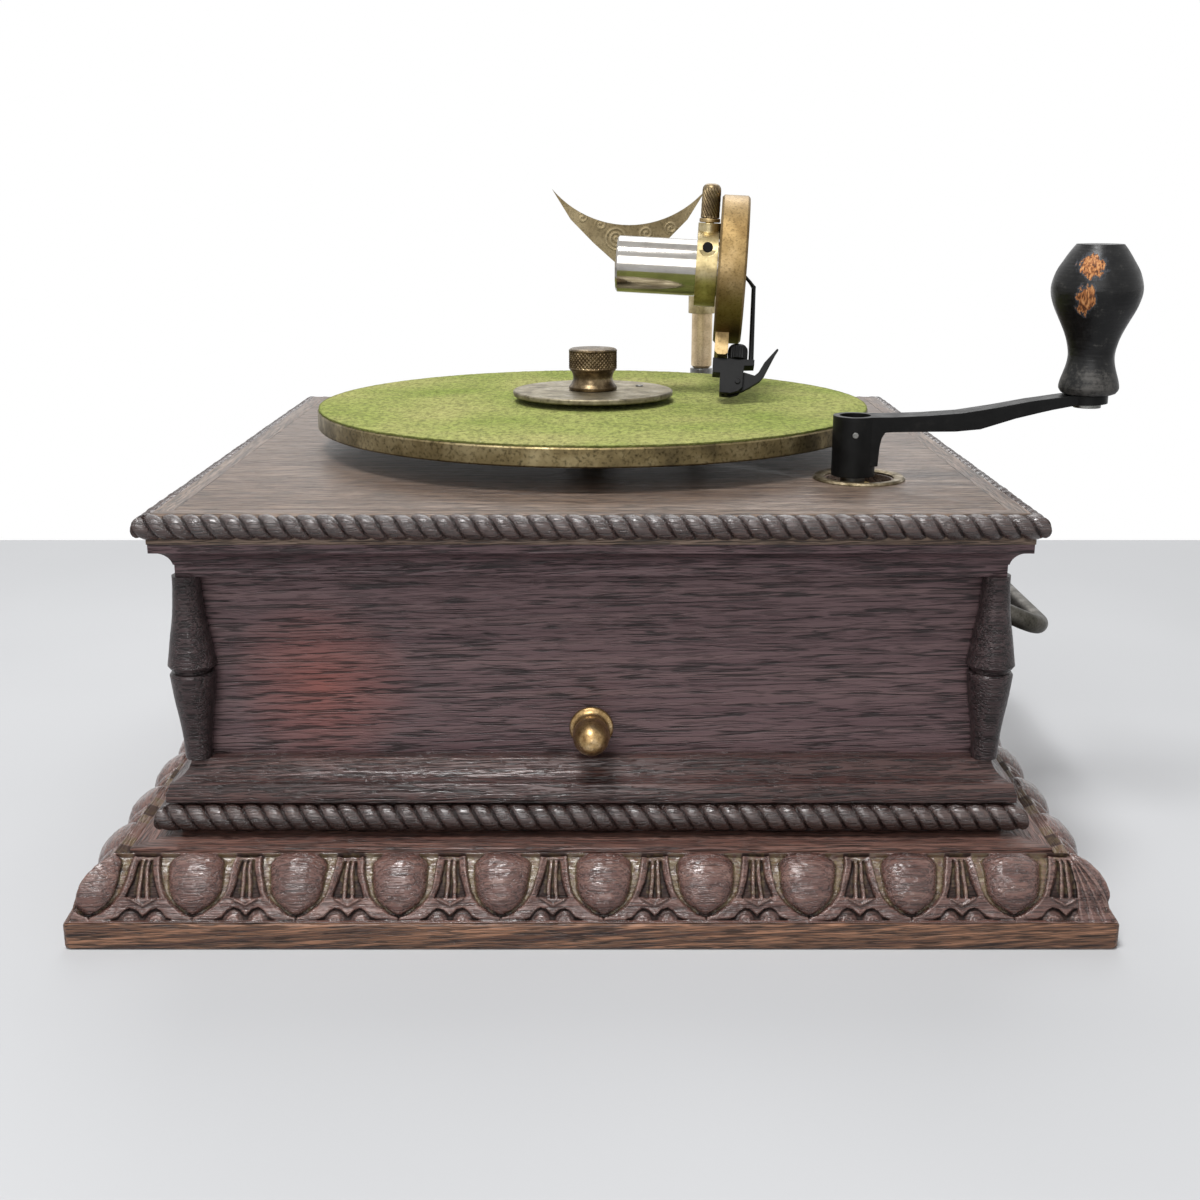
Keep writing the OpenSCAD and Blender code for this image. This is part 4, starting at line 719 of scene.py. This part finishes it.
# The carver's pattern in millimetres, read from the foot up: half the egg's width, then how far
# the frame's egg side and its dart side lie from the middle of the egg
EGG_HALF = ((3, 0), (3.4, 1.6), (4.5, 4.0), (6, 6.2), (7.8, 7.8), (10, 9.1), (12, 9.8), (16, 10.3),
    (20, 10.5), (23, 10.6), (25, 9.6), (26.8, 7.0))
FRAME_INNER = ((2.0, 0), (3.2, 3.6), (6.2, 7.9), (9.4, 10.5), (11.9, 11.7), (16, 12.6), (20.2, 13.3),
    (25, 13.8))
FRAME_OUTER = ((8.8, 24), (9.2, 13.4), (11.9, 14.3), (16, 15.5), (20.2, 16.3), (24.0, 16.8), (24.2, 24))
# Read from the middle of an egg outwards: the frame's foot, arched over the scallops
FRAME_FOOT = ((0, 0.8), (8, 1.1), (10.5, 2.0), (12.5, 4.0), (14.4, 5.0), (16.5, 4.5), (18, 3.3), (19.1, 2.5))


def smooth(low, high, value):
    """0 up to low, 1 from high on, and an even slope with soft ends between them."""
    t = min(1, max(0, (value - low) / (high - low)))
    return t * t * (3 - 2 * t)


def between(points, value):
    """A value read from a short list of points, straight between them."""
    if value <= points[0][0]:
        return points[0][1]
    for (x0, y0), (x1, y1) in zip(points, points[1:]):
        if value <= x1:
            return y0 + (y1 - y0) * (value - x0) / (x1 - x0)
    return points[-1][1]


def rounded(depth, width):
    """Height of a rib's rounded shoulder, that far in from its edge."""
    t = min(1, max(0, depth / width))
    return math.sqrt(1 - (1 - t) ** 2)


def egg_and_dart(along, up):
    """The carving that far along and that far up: its height over the ground, its dust and its painted shade.
    """
    across = abs((along - FIRST_EGG + EGG_PITCH / 2) % EGG_PITCH - EGG_PITCH / 2)
    from_dart = EGG_PITCH / 2 - across
    height = 0.0
    # The egg
    half = between(EGG_HALF, up)
    if across < half:
        crown = 1 - ((up - 16.5) / (14.5 if up < 16.5 else 13)) ** 2
        dome = math.sqrt(max(0, 1 - (across / half) ** 2.2))
        height = 5.0 * dome * math.sqrt(max(0.08, crown))
    # The frame round it, with a facet along its egg side
    inside = across - between(FRAME_INNER, up)
    outside = between(FRAME_OUTER, up) - across
    foot = up - between(FRAME_FOOT, across)
    edge = min(inside, outside, foot, FACE - 0.9 - up)
    if edge > 0:
        facet = 0.6 * smooth(2.6, 0.4, inside) * smooth(8, 11, up)
        height = max(height, 1.9 * rounded(edge, 0.8) + facet)
    # The dart's thin blade, then the chevron across its foot
    if 8.4 < up < 24.2:
        blade = 0.45 + 0.05 * max(0, 20 - up)
        ridge = 1.5 * smooth(blade - 0.5, blade, from_dart) * smooth(blade + 1.5, blade + 1.0, from_dart)
        height = max(height, ridge * smooth(8.4, 9.2, up))
    if 5.2 < up < 10.5:
        notch = up - 6.4 - 0.55 * from_dart
        height += 0.9 * smooth(0.8, 0.1, abs(notch)) * smooth(5.5, 4.5, from_dart)
    # The scallops, and the plain line below them
    lobe = math.hypot((from_dart - 4.7) / 3.9, (up - 1.0) / 3.5)
    if lobe < 1 and up > 1.0:
        ring = 0.25 * math.cos(lobe * 14)
        height = max(height, (1.7 + ring) * math.sqrt(1 - lobe))
    height = max(height, 1.5 * smooth(1.3, 0.8, up))
    # Dust lies in the channel round the egg and beside the blade; painted shade darkens the other hollows
    channel = smooth(0.6, -0.2, inside) * smooth(half - 1.0, half, across) * smooth(2.2, 4, up)
    blade_dust = 0.75 * smooth(4, 3, from_dart) * smooth(9, 11, up)
    # Painted shade: the lower a point lies in the carving, the darker it is painted
    hollow = smooth(1.5, 0.3, height)
    return height, max(channel, blade_dust), hollow * (1 - channel)


def face_at(up):
    """The base's uncut face, that far up from the plain edge: how far out, how high and how it leans."""
    if up < SLOPE:
        part = up / SLOPE
        lean = math.radians(33 - 20.3 * smooth(0.4, 1, part))
        foot_out, foot_z = PANEL + 46.6, 10.8
        top_out = OVOLO_OUT + OVOLO_R * math.cos(OVOLO_FROM)
        top_z = OVOLO_Z + OVOLO_R * math.sin(OVOLO_FROM)
        return foot_out + (top_out - foot_out) * part, foot_z + (top_z - foot_z) * part, lean
    lean = OVOLO_FROM + (up - SLOPE) / OVOLO_R
    return OVOLO_OUT + OVOLO_R * math.cos(lean), OVOLO_Z + OVOLO_R * math.sin(lean), lean


def carved_point(x, y):
    """A point of the carved face, from -1 to 1 along a side and 0 to 1 up it, its dust and its painted shade.
    """
    up = y * FACE
    out, z, lean = face_at(up)
    along = x * out
    last_dart = FIRST_EGG + EGG_PITCH * EGGS / 2
    hand = Vector((along / 14, up / 9, 5))
    drift = 0.55 * noise.noise(hand)
    lift = 0.45 * noise.noise(hand + Vector((31, 17, 3)))
    height, dust, painted_shade = egg_and_dart(along + drift, min(FACE, max(0, up + lift)))
    if along > last_dart + 3.0:
        fan = math.cos(math.atan2(along - last_dart - 2, up - 30) * 46)
        past = smooth(last_dart + 3.0, last_dart + 4.5, along)
        height += (1.7 + 0.4 * fan - height) * past
        dust *= 1 - past
        painted_shade *= 1 - past
    from_mitre = out - abs(along)
    height += (2.3 - height) * smooth(2.0, 0.2, from_mitre)
    tool = noise.noise(Vector((along / 1.7, up / 1.1, 7)))
    wear = 0.16 * tool + 0.3 * noise.noise(Vector((along / 5, up / 3, 3)))
    foot = smooth(0, 0.6, up) * smooth(FACE, FACE - 0.5, up)
    deep = (CARVE_DEPTH - height - wear) * foot
    final = out - deep * math.cos(lean)
    along += math.copysign((final - out) * smooth(30, 0, from_mitre), along)
    return Vector((along * MM, -final * MM, (z - deep * math.sin(lean)) * MM)), dust, painted_shade


def carved_length():
    """One side's carving: a fine grid laid on the moulded face and cut to the depth of the pattern."""
    start(bpy.ops.mesh.primitive_grid_add, x_subdivisions=1000, y_subdivisions=64, size=2)
    mode("OBJECT")
    mesh = bpy.context.object.data
    # Each point keeps its dust and how much painted shade it gets
    for name in ("dust", "painted_shade"):
        mesh.attributes.new(name, "FLOAT", "POINT")
    dusts = mesh.attributes["dust"].data
    painted_shades = mesh.attributes["painted_shade"].data
    for i, vertex in enumerate(mesh.vertices):
        vertex.co, dusts[i].value, painted_shades[i].value = carved_point(vertex.co.x, (vertex.co.y + 1) / 2)
    mode("EDIT")
    select_open()
    bpy.ops.mesh.extrude_edges_move(TRANSFORM_OT_translate={"value": (0, 0, -0.003)})
    bpy.ops.transform.resize(value=(0.98, 0.98, 1), center_override=(0, 0, 0))
    bpy.ops.mesh.edge_face_add()
    face_outwards()
    piece = done("base_carving_front", carved_oak)
    shade_smooth(50)
    return piece


def base():
    """The plain part of the base: its worn lower edge, the seat behind the carving and the rebate."""
    lip = -span("front_panel", 1)[1] - 7
    rebate = span("bottom_board", 0)[1]
    floor = span("bottom_board", 2)[1]
    seat = arc(OVOLO_OUT, OVOLO_Z, OVOLO_R - CARVE_DEPTH - 0.4, 16, 58, 6)
    ledge = PANEL + 26
    section = [(lip, floor), (rebate, floor), (rebate, 0), (BASE_EDGE - 0.8, 0), (BASE_EDGE, 0.8),
        (BASE_EDGE, 9.7), (BASE_EDGE - 0.7, 10.5), (BASE_EDGE - 4.2, 10.2), (BASE_EDGE - 7, 14.5), *seat,
        (ledge + 0.6, seat[-1][1]), (ledge + 0.6, BASE_TOP - 0.6), (ledge, BASE_TOP), (lip, BASE_TOP)]
    moulded(section, ring=True)
    round_corners(BASE_EDGE, 2.2)
    plank = done("base_plank", plank_oak)
    soften(plank, 0.4)
    fit(plank, "case", "carved_oak", "base_moulding")
    front = carved_length()
    fit(front, "case", "carved_oak")
    for side, degrees in SIDES:
        fit(copy_turned(front, "base_carving_" + side, degrees), "case", "carved_oak")


# Ropes

STRANDS = 2
NOTCH_DEPTH = 0.36
NOTCH_SHAPE = 2.3


def rope(name, radius, pitch, out, height):
    """Four carved ropes, cut to their mitres: each a ring with a notch a strand, drawn out and twisted."""
    points = 14
    steps = 9
    start(bpy.ops.mesh.primitive_circle_add, vertices=STRANDS * points, radius=radius * MM,
        rotation=(0, math.radians(90), 0))
    mode("OBJECT")
    settle()
    strand = bpy.context.object
    for vertex in strand.data.vertices:
        from_notch = abs(vertex.index % points - points / 2) / (points / 2)
        vertex.co *= 1 - NOTCH_DEPTH * (1 - math.sqrt(max(0, 1 - from_notch ** NOTCH_SHAPE)))
    mode("EDIT")
    bpy.ops.mesh.select_all(action="SELECT")
    for step in range(steps):
        bpy.ops.mesh.extrude_edges_move(TRANSFORM_OT_translate={"value": (pitch * MM / steps, 0, 0)})
        bpy.ops.transform.rotate(value=-math.radians(360 / STRANDS / steps), orient_axis="X",
            center_override=(0, 0, 0))
    mode("OBJECT")
    reach = out + radius
    strand.data.transform(Matrix.Translation((-reach * MM - pitch * MM, -out * MM, height * MM)))
    alter(strand, "ARRAY", count=math.ceil(2 * reach / pitch) + 2, use_relative_offset=False,
        use_constant_offset=True, constant_offset_displace=(pitch * MM, 0, 0), use_merge_vertices=True,
        merge_threshold=0.05 * MM)
    for vertex in strand.data.vertices:
        place = vertex.co / MM
        hand = 0.05 * noise.noise(place / 5) + 0.03 * noise.noise(place / 1.6)
        hand *= smooth(out, out - 8, abs(place.x))
        vertex.co.y += (vertex.co.y + out * MM) * hand
        vertex.co.z += (vertex.co.z - height * MM) * hand
    mode("EDIT")
    for side in (-1, 1):
        bpy.ops.mesh.select_all(action="SELECT")
        bpy.ops.mesh.bisect(plane_co=(0, 0, 0), plane_no=(side, 1, 0), use_fill=True, clear_outer=True)
    face_outwards()
    piece = done(name + "_front", rope_oak)
    shade_smooth(50)
    return [piece, *[copy_turned(piece, name + "_" + side, degrees) for side, degrees in SIDES]]


def lower_moulding():
    """Rope, fillet and cove between the base and the panels."""
    rope_out = PANEL + 14
    rope_z = LOWER_BOTTOM + 7.3
    fillet_z = rope_z + 6
    fillet = PANEL + 15
    section = [(PANEL - 2, LOWER_BOTTOM), (PANEL + 11, LOWER_BOTTOM), (PANEL + 11, rope_z - 3),
        (PANEL + 11, fillet_z), (fillet, fillet_z), (fillet, fillet_z + 3.5), (fillet - 0.6, fillet_z + 4.7),
        *arc(fillet - 0.1, LOWER_TOP + 0.6, 8.55, 261, 184, 8), (PANEL - 2, LOWER_TOP)]
    moulded(section, ring=True)
    piece = done("lower_moulding_frame", moulding_oak)
    soften(piece, 0.35)
    fit(piece, "case", "carved_oak", "lower_moulding")
    for length in rope("lower_rope", 5.4, 7.35, rope_out, rope_z):
        fit(length, "case", "carved_oak")


# Top board

def punch(piece, x, y, radius, low, high):
    """Bores a round hole down through a piece."""
    bpy.ops.mesh.primitive_cylinder_add(vertices=96, radius=radius * MM, depth=(high - low) * MM,
        location=(x * MM, y * MM, (low + high) / 2 * MM))
    cut_away(piece, bpy.context.object)


def top_board():
    """The slab with its two holes, and the mitred border that carries the rope."""
    seam = TOP_EDGE - 13.2
    half_gap = 0.04
    rope_out = TOP_EDGE - 4.55
    moulded([(seam - half_gap, TOP_UNDER), (seam - half_gap, TOP_Z)])
    slab = done("top_slab", top_oak)
    bore = 9.5
    recess = 13.2
    punch(slab, 0, 0, bore, TOP_UNDER - 5, TOP_Z + 5)
    punch(slab, middle("winding_shaft", 0), middle("winding_shaft", 1), bore, TOP_UNDER - 5, TOP_Z + 5)
    punch(slab, middle("crank_escutcheon", 0), middle("crank_escutcheon", 1), recess, TOP_Z - 4, TOP_Z + 5)
    soften(slab, 0.12)
    fit(slab, "case", "top_oak", "top_board")
    inner = seam + half_gap
    section = [(inner, TOP_UNDER), (rope_out + 0.5, TOP_UNDER), (rope_out + 0.5, TOP_UNDER + 1.6),
        (rope_out, TOP_Z - 8), (rope_out, TOP_Z - 1.6), (rope_out - 1.5, TOP_Z), (inner, TOP_Z)]
    moulded(section, ring=True)
    border = done("top_border", border_oak)
    soften(border, 0.12)
    fit(border, "case", "top_oak")
    for length in rope("top_rope", 4.8, 7.03, rope_out, TOP_Z - 4.75):
        fit(length, "case", "top_oak")


# Turned and knurled pieces

def curve_through(points, steps):
    """A smooth profile through the turner's points."""
    shape = []
    last = len(points) - 1
    for i in range(last):
        before, here, there, after = (Vector(points[max(0, min(last, i + k))]) for k in (-1, 0, 1, 2))
        for step in range(steps):
            t = step / steps
            shape.append(0.5 * (2 * here + (there - before) * t
                + (2 * before - 5 * here + 4 * there - after) * t * t
                + (3 * here - before - 3 * there + after) * t ** 3))
    return [(p.x, p.y) for p in shape] + [points[-1]]


def cut_knurl(piece, radius, low, high, depth, ridges, slant, crossed):
    """Presses a knurl into a cylinder: slanting ridges, or diamonds where they cross."""
    for vertex in piece.data.vertices:
        r = math.hypot(vertex.co.x, vertex.co.y) / MM
        z = vertex.co.z / MM
        if r > radius - 0.01 and low - 0.01 < z < high + 0.01:
            angle = math.atan2(vertex.co.y, vertex.co.x) * ridges
            first = math.cos(angle + z * slant)
            second = math.cos(angle - z * slant) if crossed else 1
            groove = 1 - max(0, min(first, second) * 0.5 + 0.5) ** 0.6
            fade = smooth(low, low + 0.5, z) * smooth(high, high - 0.5, z)
            share = 1 - depth * groove * fade / radius
            vertex.co.x *= share
            vertex.co.y *= share


def turntable_nut():
    """The clamp nut: a diamond-knurled drum over a polished waist."""
    low, high = span("turntable_nut", 2)
    r = span("turntable_nut", 0)[1]
    bore = 3.65
    waist = curve_through([(r, low + 1.4), (r - 1.3, low + 3.0), (r - 2.0, low + 5.4), (r - 1.5, low + 7.8),
        (r - 0.3, low + 9.4)], 4)
    drum = [(r, low + 9.9 + 0.275 * i) for i in range(31)]
    profile = [(bore, low + 16), (bore, low), (r - 0.3, low), (r, low + 0.4), *waist, *drum,
        (r - 0.5, high - 0.25), (r - 1.0, high)]
    turned(profile, 288)
    piece = done("nut_drum", nut_brass)
    cut_knurl(piece, r, low + 9.9, high - 0.75, 0.55, 36, 3.2, True)
    shade_smooth(40)
    fit(piece, "clamp_nut", "dark_brass", "turntable_nut")


# The sound box's middle, in metres
SOUND_BOX = (0.065, 0.018, 0.237)


def tube_frame():
    """The sound box's own axes: Z runs along the tube and X down."""
    turn = Matrix.Rotation(math.radians(-4.4), 4, "Z") @ Matrix.Rotation(math.radians(92.9), 4, "Y")
    return Matrix.Translation(SOUND_BOX) @ turn


def clamp_screw():
    """The long knurled screw on the clamp ring: slanting ridges over a bright turned ferrule."""
    ferrule = 21.1
    end = 38.6
    r = 4.4
    ring_middle = -11.65
    across = Matrix.Translation((0, 0, ring_middle * MM)) @ Matrix.Rotation(math.radians(-90), 4, "Y")
    seat = tube_frame() @ across
    rod = [(r, ferrule + 2.2 + 0.29 * i) for i in range(43)]
    turned([(2, 13.4), (2, ferrule + 1.9), (r - 0.3, ferrule + 1.9), *rod, (r - 0.25, end - 1.8),
        (r - 0.8, end - 0.9), (r - 1.7, end - 0.3), (r - 2.8, end)], 192)
    piece = done("clamp_screw_rod", screw_brass)
    cut_knurl(piece, r, ferrule + 2.2, end - 2.2, 0.6, 16, 2.6, False)
    piece.data.transform(seat)
    shade_smooth(40)
    fit(piece, "tube_clamp", "dark_brass", "clamp_screw")
    turned([(2.05, ferrule), (r + 0.2, ferrule), (r + 0.45, ferrule + 0.3), (r + 0.45, ferrule + 1.5),
        (r + 0.2, ferrule + 1.8), (2.05, ferrule + 1.8)], 64, ring=True)
    collar = done("clamp_screw_collar", pale_brass)
    collar.data.transform(seat)
    shade_smooth(30)
    fit(collar, "tube_clamp", "dark_brass")


def crank_knob():
    """The wooden grip, turned in one long swell."""
    low = span("crank_knob", 2)[0]
    tall = KNOB_TOP - low
    grip = curve_through([(10.7, 0.5), (11.8, 2.4), (11.4, 5.3), (10.5, 8.2), (9.4, 12.1), (9.1, 16),
        (10, 20.8), (11.4, 24.7), (13.2, 28.6), (16.4, 35.4), (17.7, 41.7), (16.2, 48), (13.5, 52.8),
        (11.3, 56.2), (9.4, tall - 0.5), (8.4, tall - 0.1), (2, tall)], 4)
    turned([(3.05, tall - 8), (3.05, 0), (9.5, 0), *grip], 96)
    piece = done("knob_grip", enamel)
    piece.data.transform(Matrix.Translation((KNOB_MID[0] * MM, KNOB_MID[1] * MM, low * MM)))
    shade_smooth(40)
    fit(piece, "knob", "knob_wood", "crank_knob")


def brake_knob():
    """The brake's brass knob: a beaded flange behind a bullet nose."""
    front, back = span("brake_knob", 1)
    x = middle("brake_knob", 0)
    z = middle("brake_knob", 2)
    flange = span("brake_knob", 0)[1] - x
    tip = back - front + 3.6
    nose = curve_through([(6.2, 9.4), (6.8, 12.5), (7.0, 15.6), (6.6, 18.8), (5.5, 21.6), (3.8, 23.8),
        (1.7, 25.0), (0.5, tip)], 4)
    rim = arc(flange - 1.4, 6.0, 1.4, -80, 80, 6)
    turned([(3.02, 15), (3.02, 0), (5.2, 0), (6.4, 0.8), (6.6, 2.0), (5.9, 3.4), (5.7, 4.0), *rim, (6.5, 8.3),
        *nose], 72)
    piece = done("brake_grip", knob_brass)
    forward = Matrix.Rotation(math.radians(90), 4, "X")
    piece.data.transform(Matrix.Translation((x * MM, back * MM, z * MM)) @ forward)
    shade_smooth(30)
    fit(piece, "brake", "brass", "brake_knob")


def spindles():
    """The four turned corner spindles, cut away to sit round the case's corners."""
    low, high = span("corner_spindles", 2)
    belly = 9.2
    axis = span("corner_spindles", 0)[1] - belly
    waist = low + (high - low) * 0.49
    upper = curve_through([(belly, waist + 2.2), (8.6, waist + 6), (7.4, waist + 14), (6.1, waist + 22),
        (5.3, high - 5), (5.2, high - 2.6)], 3)
    lower = curve_through([(5.2, low + 4.2), (5.6, low + 10), (6.5, low + 17), (7.6, low + 24),
        (8.5, waist - 3.6), (8.7, waist - 1.8)], 3)
    turned([(5.0, low), (5.2, low + 3.2), *lower, (8.0, waist - 0.8), (7.0, waist - 0.5), (7.0, waist + 0.5),
        (8.3, waist + 0.9), *upper, (5.2, high)], 64)
    first = done("spindle_front_right", spindle_oak)
    first.data.transform(Matrix.Translation((axis * MM, -axis * MM, 0)))
    bpy.ops.mesh.primitive_cube_add(size=2 * PANEL * MM + 0.0001, location=(0, 0, (low + high) / 2 * MM))
    cut_away(first, bpy.context.object)
    shade_smooth(30)
    fit(first, "case", "carved_oak", "corner_spindles")
    for corner, degrees in (("back_right", 90), ("back_left", 180), ("front_left", 270)):
        fit(copy_turned(first, "spindle_" + corner, degrees), "case", "carved_oak")


def felt_disc():
    """The felt: a thick soft disc with a frayed rim and a round hole for the hub."""
    low, high = span("turntable_felt", 2)
    r = span("turntable_felt", 0)[1]
    hub = 13.05
    rings = [r, r - 0.5, r - 1.2, r - 2.2, r - 5, *[r * k / 12 for k in range(11, 2, -1)], hub + 4, hub]
    edge = [(hub, low), (r - 0.6, low), (r - 0.1, low + 0.3), (r, low + 0.6)]
    turned(edge + [(k, high) for k in rings], 480, ring=True)
    piece = done("felt_disc", felt)
    fray = piece.data.attributes.new("fray", "FLOAT", "POINT")
    for vertex in piece.data.vertices:
        place = Vector((vertex.co.x, vertex.co.y, 0)) / MM
        away = place.length
        above = vertex.co.z / MM
        rim = smooth(r - 4, r, away)
        thread = noise.noise(place / 1.6)
        wave = noise.noise(place / 9)
        share = 1 - rim * (0.35 + 0.35 * thread + 0.25 * wave) / r
        if away > hub + 1:
            vertex.co.x *= share
            vertex.co.y *= share
        if above > low + 0.2 and away > hub + 1:
            vertex.co.z += (0.18 * thread * rim - 0.25 * rim) * MM
        fray.data[vertex.index].value = smooth(r - 1.3, r - 0.4, away)
    shade_smooth(60)
    fit(piece, "turntable", "felt", "turntable_felt")


# Stage and light

# Width and depth of the floor and how far in front of the object its middle lies, in metres
FLOOR = (5, 1.98)
FLOOR_MIDDLE = -0.51
# How bright the world is for light that falls on a surface
AMBIENT = 0.22


def stage():
    """A pale floor before a white world, and soft light from above, in front and behind."""
    bpy.ops.object.select_all(action="DESELECT")
    bpy.ops.mesh.primitive_plane_add(size=1, location=(0, 0, 0))
    bpy.ops.transform.resize(value=(*FLOOR, 1))
    bpy.ops.transform.translate(value=(0, FLOOR_MIDDLE, 0))
    settle()
    floor = bpy.context.object
    floor.name = "floor"
    paint = new_finish("pale_floor")
    colour = ramp(paint, mottle(paint, 300, 2), (0.3, "#bdbec0"), (0.7, "#c3c4c6"))
    close(paint, {"Base Color": colour, "Roughness": 0.9})
    floor.data.materials.append(paint)
    world = bpy.data.worlds.new("studio")
    bpy.context.scene.world = world
    world.use_nodes = True
    world.node_tree.nodes.clear()
    seen = 0.0
    for ray in ("Is Camera Ray", "Is Glossy Ray", "Is Transmission Ray"):
        seen = calc(world, "MAXIMUM", seen, add(world, "LightPath", out=ray))
    strength = remap(world, seen, 0, 1, AMBIENT, 1.0)
    light = add(world, "Background", {"Color": (1, 1, 1, 1), "Strength": strength})
    add(world, "OutputWorld", {"Surface": light})
    lamp("key", (-0.35, -0.7, 2.0), 0.6, 36)
    lamp("fill", (-0.3, -1.7, 0.9), 1.0, 12)
    lamp("back", (0.1, 1.1, 1.5), 1.2, 14)


def lamp(name, place, size, power):
    """A square soft box that faces the middle of the machine."""
    light = bpy.data.lights.new(name, "AREA")
    light.size = size
    light.energy = power
    box = bpy.data.objects.new(name, light)
    box.location = place
    towards = Vector((0, 0, 0.12)) - Vector(place)
    box.rotation_euler = towards.to_track_quat("-Z", "Y").to_euler()
    bpy.context.scene.collection.objects.link(box)


set_camera()
stage()
finish_solids()
base()
lower_moulding()
top_board()
spindles()
turntable_nut()
clamp_screw()
crank_knob()
brake_knob()
felt_disc()
